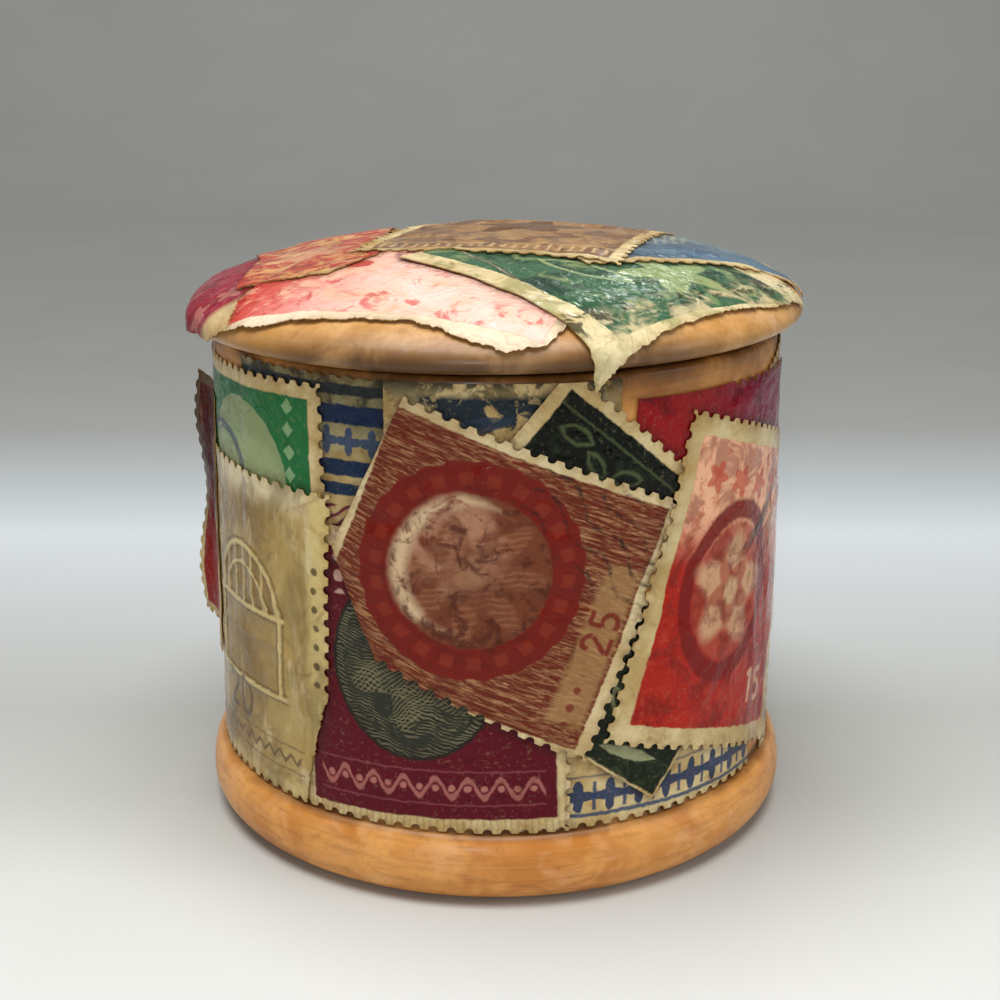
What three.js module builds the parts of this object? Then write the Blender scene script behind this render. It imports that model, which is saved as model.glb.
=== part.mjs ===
// A small round box of turned wood with a lift-off lid, papered all over with used postage stamps.
// Sizes are in millimetres and +Z is up. The origin is the middle of the underside, and -Y is the front.
import * as THREE from "three";

// Every radius of the box is stepped in or out from the widest line of its foot.
const beadRadius = 24.4;
const footInset = 2.6;
const wallInset = 1.3;
const wallTaper = 0.35;
const wallThickness = 3.15;
const lidOverhang = 0.2;
const lidEdgeInset = 1.8;

// The cup is one turning: a rounded bead for a foot, a nearly straight wall, and a bore.
const cup = {
  footRadius: beadRadius - footInset,
  beadRadius,
  beadMiddle: 2.5,
  beadTop: 5.6,
  wallLowRadius: beadRadius - wallInset,
  wallTopRadius: beadRadius - wallInset - wallTaper,
  height: 40.3,
  boreRadius: beadRadius - wallInset - wallTaper - wallThickness,
  floor: 5,
  floorFillet: 1,
  rimRound: 0.5,
};

// The lid is one turning too: a low crown over a rounded edge, and a tenon that drops into the bore.
const lid = {
  seatGap: 0.3,
  undersideRadius: beadRadius - lidEdgeInset,
  radius: beadRadius + lidOverhang,
  edgeRise: 0.9,
  crownRise: 5.1,
  tenonDepth: 3.8,
  tenonClearance: 0.3,
  tenonChamfer: 0.6,
};

// Every stamp is one thickness of paper on a film of paste. Two stamps nearer than the spacing count as
// overlapping, and a point nearer a cut than the snap is moved onto it.
const paper = {
  thickness: 0.1,
  paste: 0.07,
  spacing: 0.4,
  snap: 0.15,
  wallMargin: 0.15,
  perforationPitch: 2.2,
  perforationDepth: 0.5,
};
// The sizes of the stamps, over their perforations.
const format = {
  upright: { wide: 21.5, tall: 25.5 },
  across: { wide: 25.5, tall: 21.5 },
  broad: { wide: 22.5, tall: 21 },
  squat: { wide: 22, tall: 18.5 },
  slim: { wide: 19, tall: 23.5 },
  narrow: { wide: 15, tall: 19 },
  small: { wide: 12, tall: 15 },
  torn: { wide: 10.7, tall: 21.5 },
};
const freeLength = 7.6; // how much of the torn stamp has sprung off the wall

// Fineness of the surfaces: the flats of a turning, the steps of its rounds, and for paper the width of its
// grid, the border outside the grid, and the deepest chord, which the film of paste has to clear. The probe
// is the step by which the slope of a distance is felt.
const flats = 60;
const crownSteps = 6;
const roundSteps = 3;
const crownCrowding = 1.4; // above 1, the steps of the crown close up towards the rim, where it curves most
const arcSamples = 240;
const gridWidth = 6;
const gridBorder = 3;
const chordDepth = 0.06;
const probe = 0.01;

const roughness = { wood: 0.45, paper: 0.3 };
const wood = { cup: 0xd39a5b, lid: 0xe0bd90 };
const ink = {
  olive: 0x9a8f63,
  green: 0x3f8a52,
  darkGreen: 0x24382a,
  blue: 0x33507c,
  greyBlue: 0x6f7f93,
  cream: 0xcdbf92,
  maroon: 0x6d1230,
  crimson: 0x8d2740,
  red: 0xa8281c,
  pink: 0xe08a84,
  orange: 0xc05a35,
  brown: 0x6a4a3a,
  redBrown: 0x7d2a1c,
  violet: 0x5b3f68,
};

// The paper on the wall, in the order of pasting. across is an angle round the box from the front, to the
// right, in degrees; upShare is a share of the papered height; turn is in degrees, anticlockwise. edges
// names the perforated sides, as top, right, bottom and left; the others were cut or lie under a neighbour.
// corner shares are what is cut off the lower left corner, and a flap has sprung off the wall at its left.
const wallPaper = [
  {
    name: "stamp_cream_bordered",
    size: "squat",
    across: 33,
    upShare: 0.252,
    turn: -1.5,
    edges: "rb",
    colour: "cream",
  },
  {
    name: "stamp_back_slate",
    size: "across",
    across: 100.3,
    upShare: 0.319,
    turn: 2,
    edges: "rb",
    colour: "greyBlue",
  },
  {
    name: "stamp_back_lilac",
    size: "across",
    across: 172,
    upShare: 0.31,
    turn: -2,
    edges: "rb",
    colour: "violet",
  },
  {
    name: "stamp_back_rust",
    size: "across",
    across: 243.4,
    upShare: 0.31,
    turn: 2,
    edges: "rl",
    colour: "redBrown",
  },
  {
    name: "stamp_blue_ruled",
    size: "narrow",
    across: -36.5,
    upShare: 0.726,
    turn: 0,
    edges: "t",
    colour: "blue",
  },
  {
    name: "stamp_grey_sketch",
    size: "narrow",
    across: 3.5,
    upShare: 0.851,
    turn: 0,
    edges: "t",
    colour: "greyBlue",
  },
  {
    name: "stamp_maroon_plain",
    size: "squat",
    across: 52,
    upShare: 0.856,
    turn: 1,
    edges: "r",
    colour: "maroon",
  },
  {
    name: "stamp_back_ochre",
    size: "upright",
    across: 113.2,
    upShare: 0.581,
    turn: -3,
    edges: "tr",
    colour: "orange",
  },
  {
    name: "stamp_back_leaf",
    size: "upright",
    across: 175.4,
    upShare: 0.581,
    turn: 3,
    edges: "tl",
    colour: "green",
  },
  {
    name: "stamp_back_sky",
    size: "upright",
    across: 237,
    upShare: 0.59,
    turn: -2,
    edges: "tl",
    colour: "blue",
  },
  {
    name: "stamp_green_arc",
    size: "upright",
    across: -61,
    upShare: 0.581,
    turn: 2,
    edges: "tr",
    colour: "green",
  },
  {
    name: "stamp_maroon_oval",
    size: "slim",
    across: -9.3,
    upShare: 0.334,
    turn: 1.2,
    edges: "rb",
    colour: "maroon",
  },
  {
    name: "stamp_green_upper",
    size: "small",
    across: 22,
    upShare: 0.931,
    turn: -40,
    edges: "r",
    colour: "darkGreen",
  },
  {
    name: "stamp_green_lower",
    size: "small",
    across: 39.2,
    upShare: 0.184,
    turn: -32,
    edges: "lb",
    colour: "darkGreen",
  },
  {
    name: "stamp_back_carmine",
    size: "slim",
    across: 78.7,
    upShare: 0.677,
    turn: 13,
    edges: "trb",
    colour: "crimson",
  },
  {
    name: "stamp_back_navy",
    size: "upright",
    across: 141,
    upShare: 0.435,
    turn: -16,
    edges: "trbl",
    colour: "blue",
  },
  {
    name: "stamp_back_brick",
    size: "slim",
    across: 208.6,
    upShare: 0.435,
    turn: 19,
    edges: "trbl",
    colour: "red",
  },
  {
    name: "stamp_brown_medallion",
    size: "broad",
    across: -0.2,
    upShare: 0.571,
    turn: -22.6,
    edges: "tr",
    colour: "redBrown",
    cornerWideShare: 0.24,
    cornerTallShare: 0.36,
  },
  {
    name: "stamp_olive_arcade",
    size: "upright",
    across: -57.6,
    upShare: 0.375,
    turn: 0.5,
    edges: "trb",
    colour: "olive",
  },
  {
    name: "stamp_red_torn",
    size: "torn",
    across: -86,
    upShare: 0.544,
    turn: 0,
    edges: "bl",
    colour: "crimson",
    flap: true,
  },
  {
    name: "stamp_red_upright",
    size: "upright",
    across: 53.2,
    upShare: 0.469,
    turn: -17,
    edges: "trbl",
    colour: "red",
  },
];

// The paper on the lid, in the order of pasting. xShare and yShare place its middle on the crown, laid flat
// from the top outwards, as shares of the lid's radius. hemShare is where the rim ends it, as a share of the
// way from the top to the widest line, and above 1 it wraps under the edge.
const lidPaper = [
  {
    name: "lid_stamp_ochre",
    size: "upright",
    xShare: -0.42,
    yShare: 0.86,
    turn: 24,
    edges: "rb",
    hemShare: 0.98,
    colour: "orange",
  },
  {
    name: "lid_stamp_pink",
    size: "across",
    xShare: -0.17,
    yShare: -0.42,
    turn: -22,
    edges: "b",
    hemShare: 0.95,
    colour: "pink",
  },
  {
    name: "lid_stamp_lilac",
    size: "upright",
    xShare: 0.42,
    yShare: 0.88,
    turn: -21,
    edges: "bl",
    hemShare: 0.99,
    colour: "violet",
  },
  {
    name: "lid_stamp_crimson",
    size: "broad",
    xShare: -0.99,
    yShare: -0.2,
    turn: 12,
    edges: "tr",
    hemShare: 1,
    colour: "crimson",
  },
  {
    name: "lid_stamp_green",
    size: "across",
    xShare: 0.325,
    yShare: -0.317,
    turn: -48,
    edges: "rb",
    hemShare: 0.94,
    colour: "green",
  },
  {
    name: "lid_stamp_gold_red",
    size: "upright",
    xShare: -0.68,
    yShare: 0.16,
    turn: 10,
    edges: "tr",
    hemShare: 0.975,
    colour: "orange",
  },
  {
    name: "lid_stamp_blue",
    size: "upright",
    xShare: 0.46,
    yShare: 0.22,
    turn: 25,
    edges: "rb",
    hemShare: 0.985,
    colour: "greyBlue",
  },
  {
    name: "lid_stamp_brown",
    size: "upright",
    xShare: 0.1,
    yShare: 0.2,
    turn: -15.5,
    edges: "trbl",
    hemShare: 0.98,
    colour: "brown",
  },
];

const radians = THREE.MathUtils.degToRad;
const papered = {
  low: cup.beadTop + paper.wallMargin,
  high: cup.height - cup.rimRound - paper.wallMargin,
};
const lidBottom = cup.height + lid.seatGap;
const edgeHeight = lidBottom + lid.edgeRise;
const tenonRadius = cup.boreRadius - lid.tenonClearance;
const meanRadius = (cup.wallLowRadius + cup.wallTopRadius) / 2;

const box = new THREE.Group();

function addPiece(name, geometry, color, rough) {
  const material = new THREE.MeshStandardMaterial({ color, roughness: rough, metalness: 0 });
  const mesh = new THREE.Mesh(geometry, material);
  mesh.name = name;
  box.add(mesh);
}

// The points of part of an ellipse, from one angle to another, both ends included.
function ellipseArc(middleX, middleY, halfWide, halfTall, from, to, steps) {
  return Array.from({ length: steps + 1 }, (_, i) => {
    const angle = from + ((to - from) * i) / steps;
    return new THREE.Vector2(middleX + halfWide * Math.cos(angle), middleY + halfTall * Math.sin(angle));
  });
}

// A turned form: a section in (radius, height), spun about the vertical axis.
function turned(section) {
  return new THREE.LatheGeometry(section, flats).rotateX(Math.PI / 2);
}

// The turned cup: underside, bead, wall, rim, bore and floor, all in one section.
function cupSection() {
  const quarter = Math.PI / 2;
  const beadLow = cup.beadRadius - cup.footRadius;
  const beadHigh = cup.beadRadius - cup.wallLowRadius;
  const beadRise = cup.beadTop - cup.beadMiddle;
  const round = cup.rimRound;
  const fillet = cup.floorFillet;
  return [
    new THREE.Vector2(0, 0),
    ...ellipseArc(cup.footRadius, cup.beadMiddle, beadLow, cup.beadMiddle, -quarter, 0, roundSteps),
    ...ellipseArc(cup.wallLowRadius, cup.beadMiddle, beadHigh, beadRise, 0, quarter, roundSteps).slice(1),
    ...ellipseArc(cup.wallTopRadius - round, cup.height - round, round, round, 0, quarter, 2),
    ...ellipseArc(cup.boreRadius + round, cup.height - round, round, round, quarter, Math.PI, 2),
    ...ellipseArc(cup.boreRadius - fillet, cup.floor + fillet, fillet, fillet, 0, -quarter, roundSteps),
    new THREE.Vector2(0, cup.floor),
  ];
}

// A point on the section of the lid's outside, lifted square off the wood. The angle is a quarter turn at the
// top of the crown, zero at the widest line, and below zero on the round that runs in to the underside.
function lidPoint(angle, lift) {
  const middle = angle >= 0 ? 0 : lid.undersideRadius;
  const reach = lid.radius - middle;
  const rise = angle >= 0 ? lid.crownRise : lid.edgeRise;
  const square = new THREE.Vector2(rise * Math.cos(angle), reach * Math.sin(angle)).setLength(lift);
  return new THREE.Vector2(middle + reach * Math.cos(angle), edgeHeight + rise * Math.sin(angle)).add(square);
}

// The turned lid: the tenon below, the flat seat, the rounded edge and the crown.
function lidSection() {
  const tenonEnd = lidBottom - lid.tenonDepth;
  const edge = Array.from({ length: roundSteps }, (_, i) => (Math.PI / 2) * (i / roundSteps - 1));
  const crown = Array.from({ length: crownSteps }, (_, i) => {
    return (i / crownSteps) ** crownCrowding * (Math.PI / 2);
  });
  return [
    new THREE.Vector2(0, tenonEnd),
    new THREE.Vector2(tenonRadius - lid.tenonChamfer, tenonEnd),
    new THREE.Vector2(tenonRadius, tenonEnd + lid.tenonChamfer),
    new THREE.Vector2(tenonRadius, lidBottom),
    ...[...edge, ...crown].map((angle) => lidPoint(angle, 0)),
    new THREE.Vector2(0, edgeHeight + lid.crownRise),
  ];
}

function wallRadius(height) {
  const share = (height - cup.beadTop) / (cup.height - cup.beadTop);
  return cup.wallLowRadius + share * (cup.wallTopRadius - cup.wallLowRadius);
}

// Where a point of the unrolled wall lies: x runs round the box from the front, and y is the height.
function onWall({ x, y }, lift) {
  const angle = x / meanRadius;
  const radius = wallRadius(y) + lift;
  return new THREE.Vector3(radius * Math.sin(angle), -radius * Math.cos(angle), y);
}

// The same for paper that has sprung off the wall, and stands straight out along it past a given place.
function offWall(springing) {
  return (point, lift) => {
    if (point.x >= springing) return onWall(point, lift);
    const last = onWall(new THREE.Vector2(springing, point.y), lift);
    const onwards = new THREE.Vector3(last.y, -last.x, 0).setLength(springing - point.x);
    return last.add(onwards);
  };
}

// How far along the lid's surface each angle of its section lies from the top.
const lidTable = [{ angle: Math.PI / 2, travelled: 0 }];
for (let i = 1; i <= 2 * arcSamples; i += 1) {
  const before = lidTable.at(-1);
  const angle = (Math.PI / 2) * (1 - i / arcSamples);
  const step = lidPoint(before.angle, 0).distanceTo(lidPoint(angle, 0));
  lidTable.push({ angle, travelled: before.travelled + step });
}
const widestTravel = lidTable[arcSamples].travelled;

// Where a point of the lid's flattened surface lies: x and y are measured from the top, along the surface.
function onLid(point, lift) {
  const travelled = point.length();
  const next = Math.max(1, lidTable.findIndex((entry) => entry.travelled >= travelled));
  const [near, far] = [lidTable[next - 1], lidTable[next]];
  const share = (travelled - near.travelled) / (far.travelled - near.travelled);
  const { x: radius, y: height } = lidPoint(near.angle + share * (far.angle - near.angle), lift);
  const plan = point.clone().setLength(radius);
  return new THREE.Vector3(plan.x, plan.y, height);
}

// The corners of a stamp, anticlockwise from the lower left, as signs of half its width and height.
const signs = [
  [-1, -1],
  [1, -1],
  [1, 1],
  [-1, 1],
];

// A stamp laid flat about its own middle, as points and triangles: a border with a bite at every
// perforation, a plain grid inside it, and a band of triangles that joins the two. Round is how far round the
// stamp a point of the border or of the grid's rim lies, in sides.
function flatStamp({ wide, tall }, perforated) {
  const points = [];
  const addPoint = (x, y) => points.push(new THREE.Vector2(x, y)) - 1;
  const cornerAt = (i) => new THREE.Vector2((signs[i][0] * wide) / 2, (signs[i][1] * tall) / 2);
  const border = [..."brtl"].flatMap((side, i) => {
    const from = cornerAt(i);
    const along = cornerAt((i + 1) % signs.length).sub(from);
    const toothed = perforated.includes(side);
    const bites = Math.max(2, Math.round(along.length() / paper.perforationPitch));
    const steps = toothed ? 2 * bites : Math.ceil(along.length() / gridWidth);
    const inwards = new THREE.Vector2(-along.y, along.x).setLength(paper.perforationDepth);
    return Array.from({ length: steps }, (_, step) => {
      const point = from.clone().addScaledVector(along, step / steps);
      if (toothed && step % 2) point.add(inwards);
      return { index: addPoint(point.x, point.y), round: i + step / steps };
    });
  });

  const halfWide = wide / 2 - gridBorder;
  const halfTall = tall / 2 - gridBorder;
  const columns = Math.max(1, Math.round((2 * halfWide) / gridWidth));
  const rows = Math.max(1, Math.round((2 * halfTall) / gridWidth));
  const grid = Array.from({ length: rows + 1 }, (_, row) =>
    Array.from({ length: columns + 1 }, (__, column) =>
      addPoint(halfWide * ((2 * column) / columns - 1), halfTall * ((2 * row) / rows - 1)),
    ),
  );
  const triangles = [];
  for (let row = 0; row < rows; row += 1) {
    for (let column = 0; column < columns; column += 1) {
      const [a, b] = grid[row].slice(column, column + 2);
      const [d, c] = grid[row + 1].slice(column, column + 2);
      triangles.push([a, b, c], [a, c, d]);
    }
  }
  const rightColumn = grid.map((row) => row.at(-1));
  const leftColumn = grid.map((row) => row[0]);
  const gridSides = [grid[0], rightColumn, grid.at(-1).toReversed(), leftColumn.toReversed()];
  const rim = gridSides.flatMap((side, i) =>
    side.slice(0, -1).map((index, step) => ({ index, round: i + step / (side.length - 1) })),
  );

  const roundOf = (step) => rim[step]?.round ?? signs.length;
  let [outer, inner] = [0, 0];
  while (outer < border.length || inner < rim.length) {
    const [outerPoint, innerPoint] = [border[outer % border.length].index, rim[inner % rim.length].index];
    const halfWay = (roundOf(inner) + roundOf(inner + 1)) / 2;
    const outerFirst = inner === rim.length || (outer < border.length && border[outer].round < halfWay);
    if (outerFirst) outer += 1;
    else inner += 1;
    const next = outerFirst ? border[outer % border.length] : rim[inner % rim.length];
    triangles.push([outerPoint, next.index, innerPoint]);
  }
  return { points, triangles };
}

// Trims a flat sheet along a line, given as a distance that is above zero on the side that goes.
function trimmed({ points, triangles }, distance) {
  const away = points.map((point) => {
    const here = distance(point);
    return Math.abs(here) < paper.snap ? 0 : here;
  });
  const kept = points.map((point, i) => {
    if (away[i] !== 0) return point;
    const here = distance(point);
    const slopeX = distance(new THREE.Vector2(point.x + probe, point.y)) - here;
    const slopeY = distance(new THREE.Vector2(point.x, point.y + probe)) - here;
    return point.clone().addScaledVector(new THREE.Vector2(slopeX, slopeY).normalize(), -here);
  });
  const crossings = new Map();
  const crossing = (a, b) => {
    const key = `${Math.min(a, b)} ${Math.max(a, b)}`;
    if (!crossings.has(key)) {
      crossings.set(key, kept.push(kept[a].clone().lerp(kept[b], away[a] / (away[a] - away[b]))) - 1);
    }
    return crossings.get(key);
  };
  const inside = triangles.flatMap((corners) => {
    if (!corners.some((corner) => away[corner] < 0)) return [];
    const outline = corners.flatMap((corner, side) => {
      const next = corners[(side + 1) % 3];
      const own = away[corner] <= 0 ? [corner] : [];
      return away[corner] * away[next] < 0 ? [...own, crossing(corner, next)] : own;
    });
    return fan(outline);
  });
  return { points: kept, triangles: inside };
}

function fan(outline) {
  return outline.slice(2).map((corner, i) => [outline[0], outline[i + 1], corner]);
}

// Halves the sides of triangles that would cut too deep a chord of the surface that the sheet is laid on.
function refined({ points, triangles }, place) {
  const halves = new Map();
  const half = (a, b) => {
    const key = `${Math.min(a, b)} ${Math.max(a, b)}`;
    if (!halves.has(key)) {
      const middle = points[a].clone().lerp(points[b], 0.5);
      const chord = place(points[a], 0).lerp(place(points[b], 0), 0.5);
      const deep = chord.distanceTo(place(middle, 0)) > chordDepth;
      halves.set(key, deep ? points.push(middle) - 1 : null);
    }
    return halves.get(key);
  };
  const split = triangles.flatMap((corners) => {
    const outline = corners.flatMap((corner, side) => [corner, half(corner, corners[(side + 1) % 3])]);
    const whole = outline.filter((point) => point !== null);
    const start = whole.findIndex((point) => !corners.includes(point));
    return start < 0 ? [corners] : fan([...whole.slice(start), ...whole.slice(0, start)]);
  });
  const finished = split.length === triangles.length;
  return finished ? { points, triangles } : refined({ points, triangles: split }, place);
}

// Gives a flat sheet its place and its thickness: two faces, and a narrow edge along every open side.
function thickened({ points, triangles }, place, lift) {
  const used = [...new Set(triangles.flat())];
  const faces = triangles.map((corners) => corners.map((corner) => used.indexOf(corner)));
  const heights = [lift, lift + paper.thickness];
  const positions = heights.flatMap((height) => used.flatMap((i) => place(points[i], height).toArray()));
  const top = used.length;
  const sides = new Set(faces.flatMap(([a, b, c]) => [`${a} ${b}`, `${b} ${c}`, `${c} ${a}`]));
  const index = faces.flatMap(([a, b, c]) => [a, c, b, a + top, b + top, c + top]);
  sides.forEach((side) => {
    const [a, b] = side.split(" ").map(Number);
    if (sides.has(`${b} ${a}`)) return;
    index.push(a, b, b + top, a, b + top, a + top);
  });
  const geometry = new THREE.BufferGeometry();
  geometry.setAttribute("position", new THREE.Float32BufferAttribute(positions, 3));
  geometry.setIndex(index);
  geometry.computeVertexNormals();
  return geometry;
}

// The four corners of a stamp laid flat, turned and in its place.
function footprint({ size, turn }, middle) {
  const { wide, tall } = format[size];
  const origin = new THREE.Vector2();
  return signs.map(([x, y]) => {
    const corner = new THREE.Vector2((x * wide) / 2, (y * tall) / 2);
    return corner.rotateAround(origin, radians(turn)).add(middle);
  });
}

// Whether two footprints touch: no side of either keeps them apart by more than the spacing.
function touches(one, other) {
  return ![
    [one, other],
    [other, one],
  ].some(([shape, opposite]) =>
    shape.some((corner, i) => {
      const side = shape[(i + 1) % shape.length].clone().sub(corner);
      const outwards = new THREE.Vector2(side.y, -side.x).normalize();
      return opposite.every((point) => point.clone().sub(corner).dot(outwards) > paper.spacing);
    }),
  );
}

// Each stamp is pasted over those before it that it touches, one layer above the highest of them. Round the
// wall, a stamp may also touch the next turn of another.
function layersOf(footprints, circumference) {
  const layers = [];
  footprints.forEach((mine, i) => {
    const below = footprints.slice(0, i).map((theirs, j) => {
      const touching = [-circumference, 0, circumference].some((shift) =>
        touches(mine, theirs.map(({ x, y }) => new THREE.Vector2(x + shift, y))),
      );
      return touching ? layers[j] : 0;
    });
    layers.push(1 + Math.max(0, ...below));
  });
  return layers;
}

// Makes one stamp from its flat sheet: cut, turned, moved to its place, trimmed there, laid on and given
// its thickness.
function addStamp(stamp, middle, layer, place, limits) {
  const size = format[stamp.size];
  let sheet = flatStamp(size, stamp.edges);
  if (stamp.cornerWideShare) {
    const fromX = size.wide * (stamp.cornerWideShare - 0.5);
    const toY = size.tall * (stamp.cornerTallShare - 0.5);
    const along = new THREE.Vector2(-size.wide / 2 - fromX, toY + size.tall / 2);
    const outwards = new THREE.Vector2(-along.y, along.x).normalize();
    sheet = trimmed(sheet, ({ x, y }) => (x - fromX) * outwards.x + (y + size.tall / 2) * outwards.y);
  }
  const origin = new THREE.Vector2();
  const points = sheet.points.map((point) => point.rotateAround(origin, radians(stamp.turn)).add(middle));
  sheet = limits.reduce(trimmed, { points, triangles: sheet.triangles });
  const lift = paper.paste + (layer - 1) * (paper.paste + paper.thickness);
  addPiece(stamp.name, thickened(refined(sheet, place), place, lift), ink[stamp.colour], roughness.paper);
}

addPiece("turned_cup", turned(cupSection()), wood.cup, roughness.wood);
addPiece("turned_lid", turned(lidSection()), wood.lid, roughness.wood);

const wallMiddles = wallPaper.map(({ across, upShare }) => {
  const height = papered.low + upShare * (papered.high - papered.low);
  return new THREE.Vector2(radians(across) * meanRadius, height);
});
const wallLayers = layersOf(
  wallPaper.map((stamp, i) => footprint(stamp, wallMiddles[i])),
  2 * Math.PI * meanRadius,
);
const wallLimits = [({ y }) => y - papered.high, ({ y }) => papered.low - y];
wallPaper.forEach((stamp, i) => {
  const springing = wallMiddles[i].x - format[stamp.size].wide / 2 + freeLength;
  addStamp(stamp, wallMiddles[i], wallLayers[i], stamp.flap ? offWall(springing) : onWall, wallLimits);
});

const lidMiddles = lidPaper.map(({ xShare, yShare }) => {
  return new THREE.Vector2(xShare, yShare).multiplyScalar(lid.radius);
});
const lidLayers = layersOf(
  lidPaper.map((stamp, i) => footprint(stamp, lidMiddles[i])),
  0,
);
lidPaper.forEach((stamp, i) => {
  const hem = (point) => point.length() - stamp.hemShare * widestTravel;
  addStamp(stamp, lidMiddles[i], lidLayers[i], onLid, [hem]);
});

export default box;
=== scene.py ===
"""A small round box of turned wood, papered with used postage stamps and varnished. Sizes are in millimetres
until a mesh is made, and Blender gets them in metres."""

import math

import bpy
import numpy as np
from mathutils import Matrix, Vector
from mathutils.geometry import delaunay_2d_cdt


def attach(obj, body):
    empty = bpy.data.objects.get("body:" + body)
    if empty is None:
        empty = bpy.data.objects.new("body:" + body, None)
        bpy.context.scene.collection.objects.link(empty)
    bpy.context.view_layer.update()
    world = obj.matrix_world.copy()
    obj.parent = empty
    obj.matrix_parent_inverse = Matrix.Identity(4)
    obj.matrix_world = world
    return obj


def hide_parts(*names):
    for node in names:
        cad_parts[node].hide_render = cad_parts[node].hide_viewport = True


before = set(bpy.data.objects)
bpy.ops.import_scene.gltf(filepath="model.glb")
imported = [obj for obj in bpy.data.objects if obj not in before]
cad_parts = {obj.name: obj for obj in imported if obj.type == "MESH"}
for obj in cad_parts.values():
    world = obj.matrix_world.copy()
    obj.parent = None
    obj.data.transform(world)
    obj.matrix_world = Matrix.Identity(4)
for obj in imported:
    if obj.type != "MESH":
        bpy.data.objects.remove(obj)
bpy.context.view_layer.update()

# The cup. One piece of pale hardwood, turned on a lathe: a flat foot, a rounded bead, a nearly straight wall,
# and a bore. The bead was left bare and varnished, and the rest is the ground that the stamps are pasted on.
MILLIMETRE = 0.001
QUARTER = math.pi / 2

BEAD_RADIUS = 24.4
FOOT_RADIUS = 21.8
BEAD_MIDDLE = 2.5
BEAD_TOP = 5.6
WALL_LOW_RADIUS = 23.1
WALL_TOP_RADIUS = 22.75
CUP_HEIGHT = 40.3
BORE_RADIUS = 19.6
FLOOR_HEIGHT = 5
FLOOR_FILLET = 1
RIM_ROUND = 0.5
TURNING_FLATS = 192
WELD = 0.00001
FRONT_FROM = -17.5
FRONT_TO = -22.5


class Socket:
    """One socket of a node tree. Sums on it add Math nodes, so that node maths reads as Python."""

    def __init__(self, tree, socket):
        self.tree = tree
        self.socket = socket

    def math(self, operation, *others):
        return self.tree.node("ShaderNodeMath", {"operation": operation}, [self, *others])

    def vector(self, operation, *others, output=0):
        return self.tree.node("ShaderNodeVectorMath", {"operation": operation}, [self, *others], output)

    def __add__(self, other):
        return self.math("ADD", other)

    def __sub__(self, other):
        return self.math("SUBTRACT", other)

    def __mul__(self, other):
        return self.math("MULTIPLY", other)

    def __truediv__(self, other):
        return self.math("DIVIDE", other)

    def __rsub__(self, other):
        return self.tree.node("ShaderNodeMath", {"operation": "SUBTRACT"}, [other, self])

    __radd__ = __add__
    __rmul__ = __mul__

    def __neg__(self):
        return self * -1

    def __abs__(self):
        return self.math("ABSOLUTE")

    def part(self, axis):
        return self.tree.node("ShaderNodeSeparateXYZ", {}, [self], axis)

    def length(self):
        return self.vector("LENGTH", output=1)

    def ramp(self, start, end, low=0.0, high=1.0):
        """Goes smoothly from low to high as the value goes from start to end."""
        return self.tree.node(
            "ShaderNodeMapRange", {"interpolation_type": "SMOOTHSTEP"}, [self, start, end, low, high]
        )


class Tree:
    """A node tree. Its method for nodes takes a type, settings, and the values or links of the sockets."""

    def __init__(self, group):
        self.group = group

    def node(self, kind, settings=None, sockets=(), output=0):
        node = self.group.nodes.new(kind)
        for name, value in (settings or {}).items():
            if name == "stops":
                self.set_stops(node.color_ramp, value)
            else:
                setattr(node, name, value)
        pairs = sockets.items() if isinstance(sockets, dict) else enumerate(sockets)
        for name, value in pairs:
            if isinstance(value, Socket):
                self.group.links.new(value.socket, node.inputs[name])
            else:
                node.inputs[name].default_value = value
        return Socket(self, node.outputs[output])

    def set_stops(self, ramp, stops):
        while len(ramp.elements) < len(stops):
            ramp.elements.new(1.0)
        for element, (place, code) in zip(ramp.elements, stops):
            element.position = place
            element.color = ink(code)


class Shape(Tree):
    """A Geometry Nodes tree with named inputs. It ends in Realize Instances and Set Material."""

    def __init__(self, name, **inputs):
        super().__init__(bpy.data.node_groups.new(name, "GeometryNodeTree"))
        interface = self.group.interface
        interface.new_socket("Geometry", in_out="OUTPUT", socket_type="NodeSocketGeometry")
        for label, kind in {"Geometry": "Geometry", **inputs, "Material": "Material"}.items():
            interface.new_socket(label, in_out="INPUT", socket_type="NodeSocket" + kind)
        start = self.group.nodes.new("NodeGroupInput")
        self.inputs = {socket.name: Socket(self, socket) for socket in start.outputs if socket.name}

    def finish(self, geometry):
        solid = self.node("GeometryNodeRealizeInstances", {}, [geometry])
        sockets = {"Geometry": solid, "Material": self.inputs["Material"]}
        dressed = self.node("GeometryNodeSetMaterial", {}, sockets)
        end = self.group.nodes.new("NodeGroupOutput")
        self.group.links.new(dressed.socket, end.inputs[0])

    def make(self, mesh, **values):
        """The plain mesh that the tree makes of this one."""
        thing = bpy.data.objects.new(self.group.name, mesh)
        bpy.context.scene.collection.objects.link(thing)
        modifier = thing.modifiers.new("shape", "NODES")
        modifier.node_group = self.group
        for item in self.group.interface.items_tree:
            if item.in_out == "INPUT" and item.name in values:
                modifier[item.identifier] = values[item.name]
        thing.update_tag()
        evaluated = thing.evaluated_get(bpy.context.evaluated_depsgraph_get())
        made = bpy.data.meshes.new_from_object(evaluated)
        thing.modifiers.remove(modifier)
        bpy.data.objects.remove(thing)
        return made


def ink(code):
    """The colour that a web code such as c8a070 names, as Blender's linear numbers."""
    parts = [int(code[i : i + 2], 16) / 255 for i in (0, 2, 4)]
    return (*[c / 12.92 if c < 0.04045 else ((c + 0.055) / 1.055) ** 2.4 for c in parts], 1)


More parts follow.
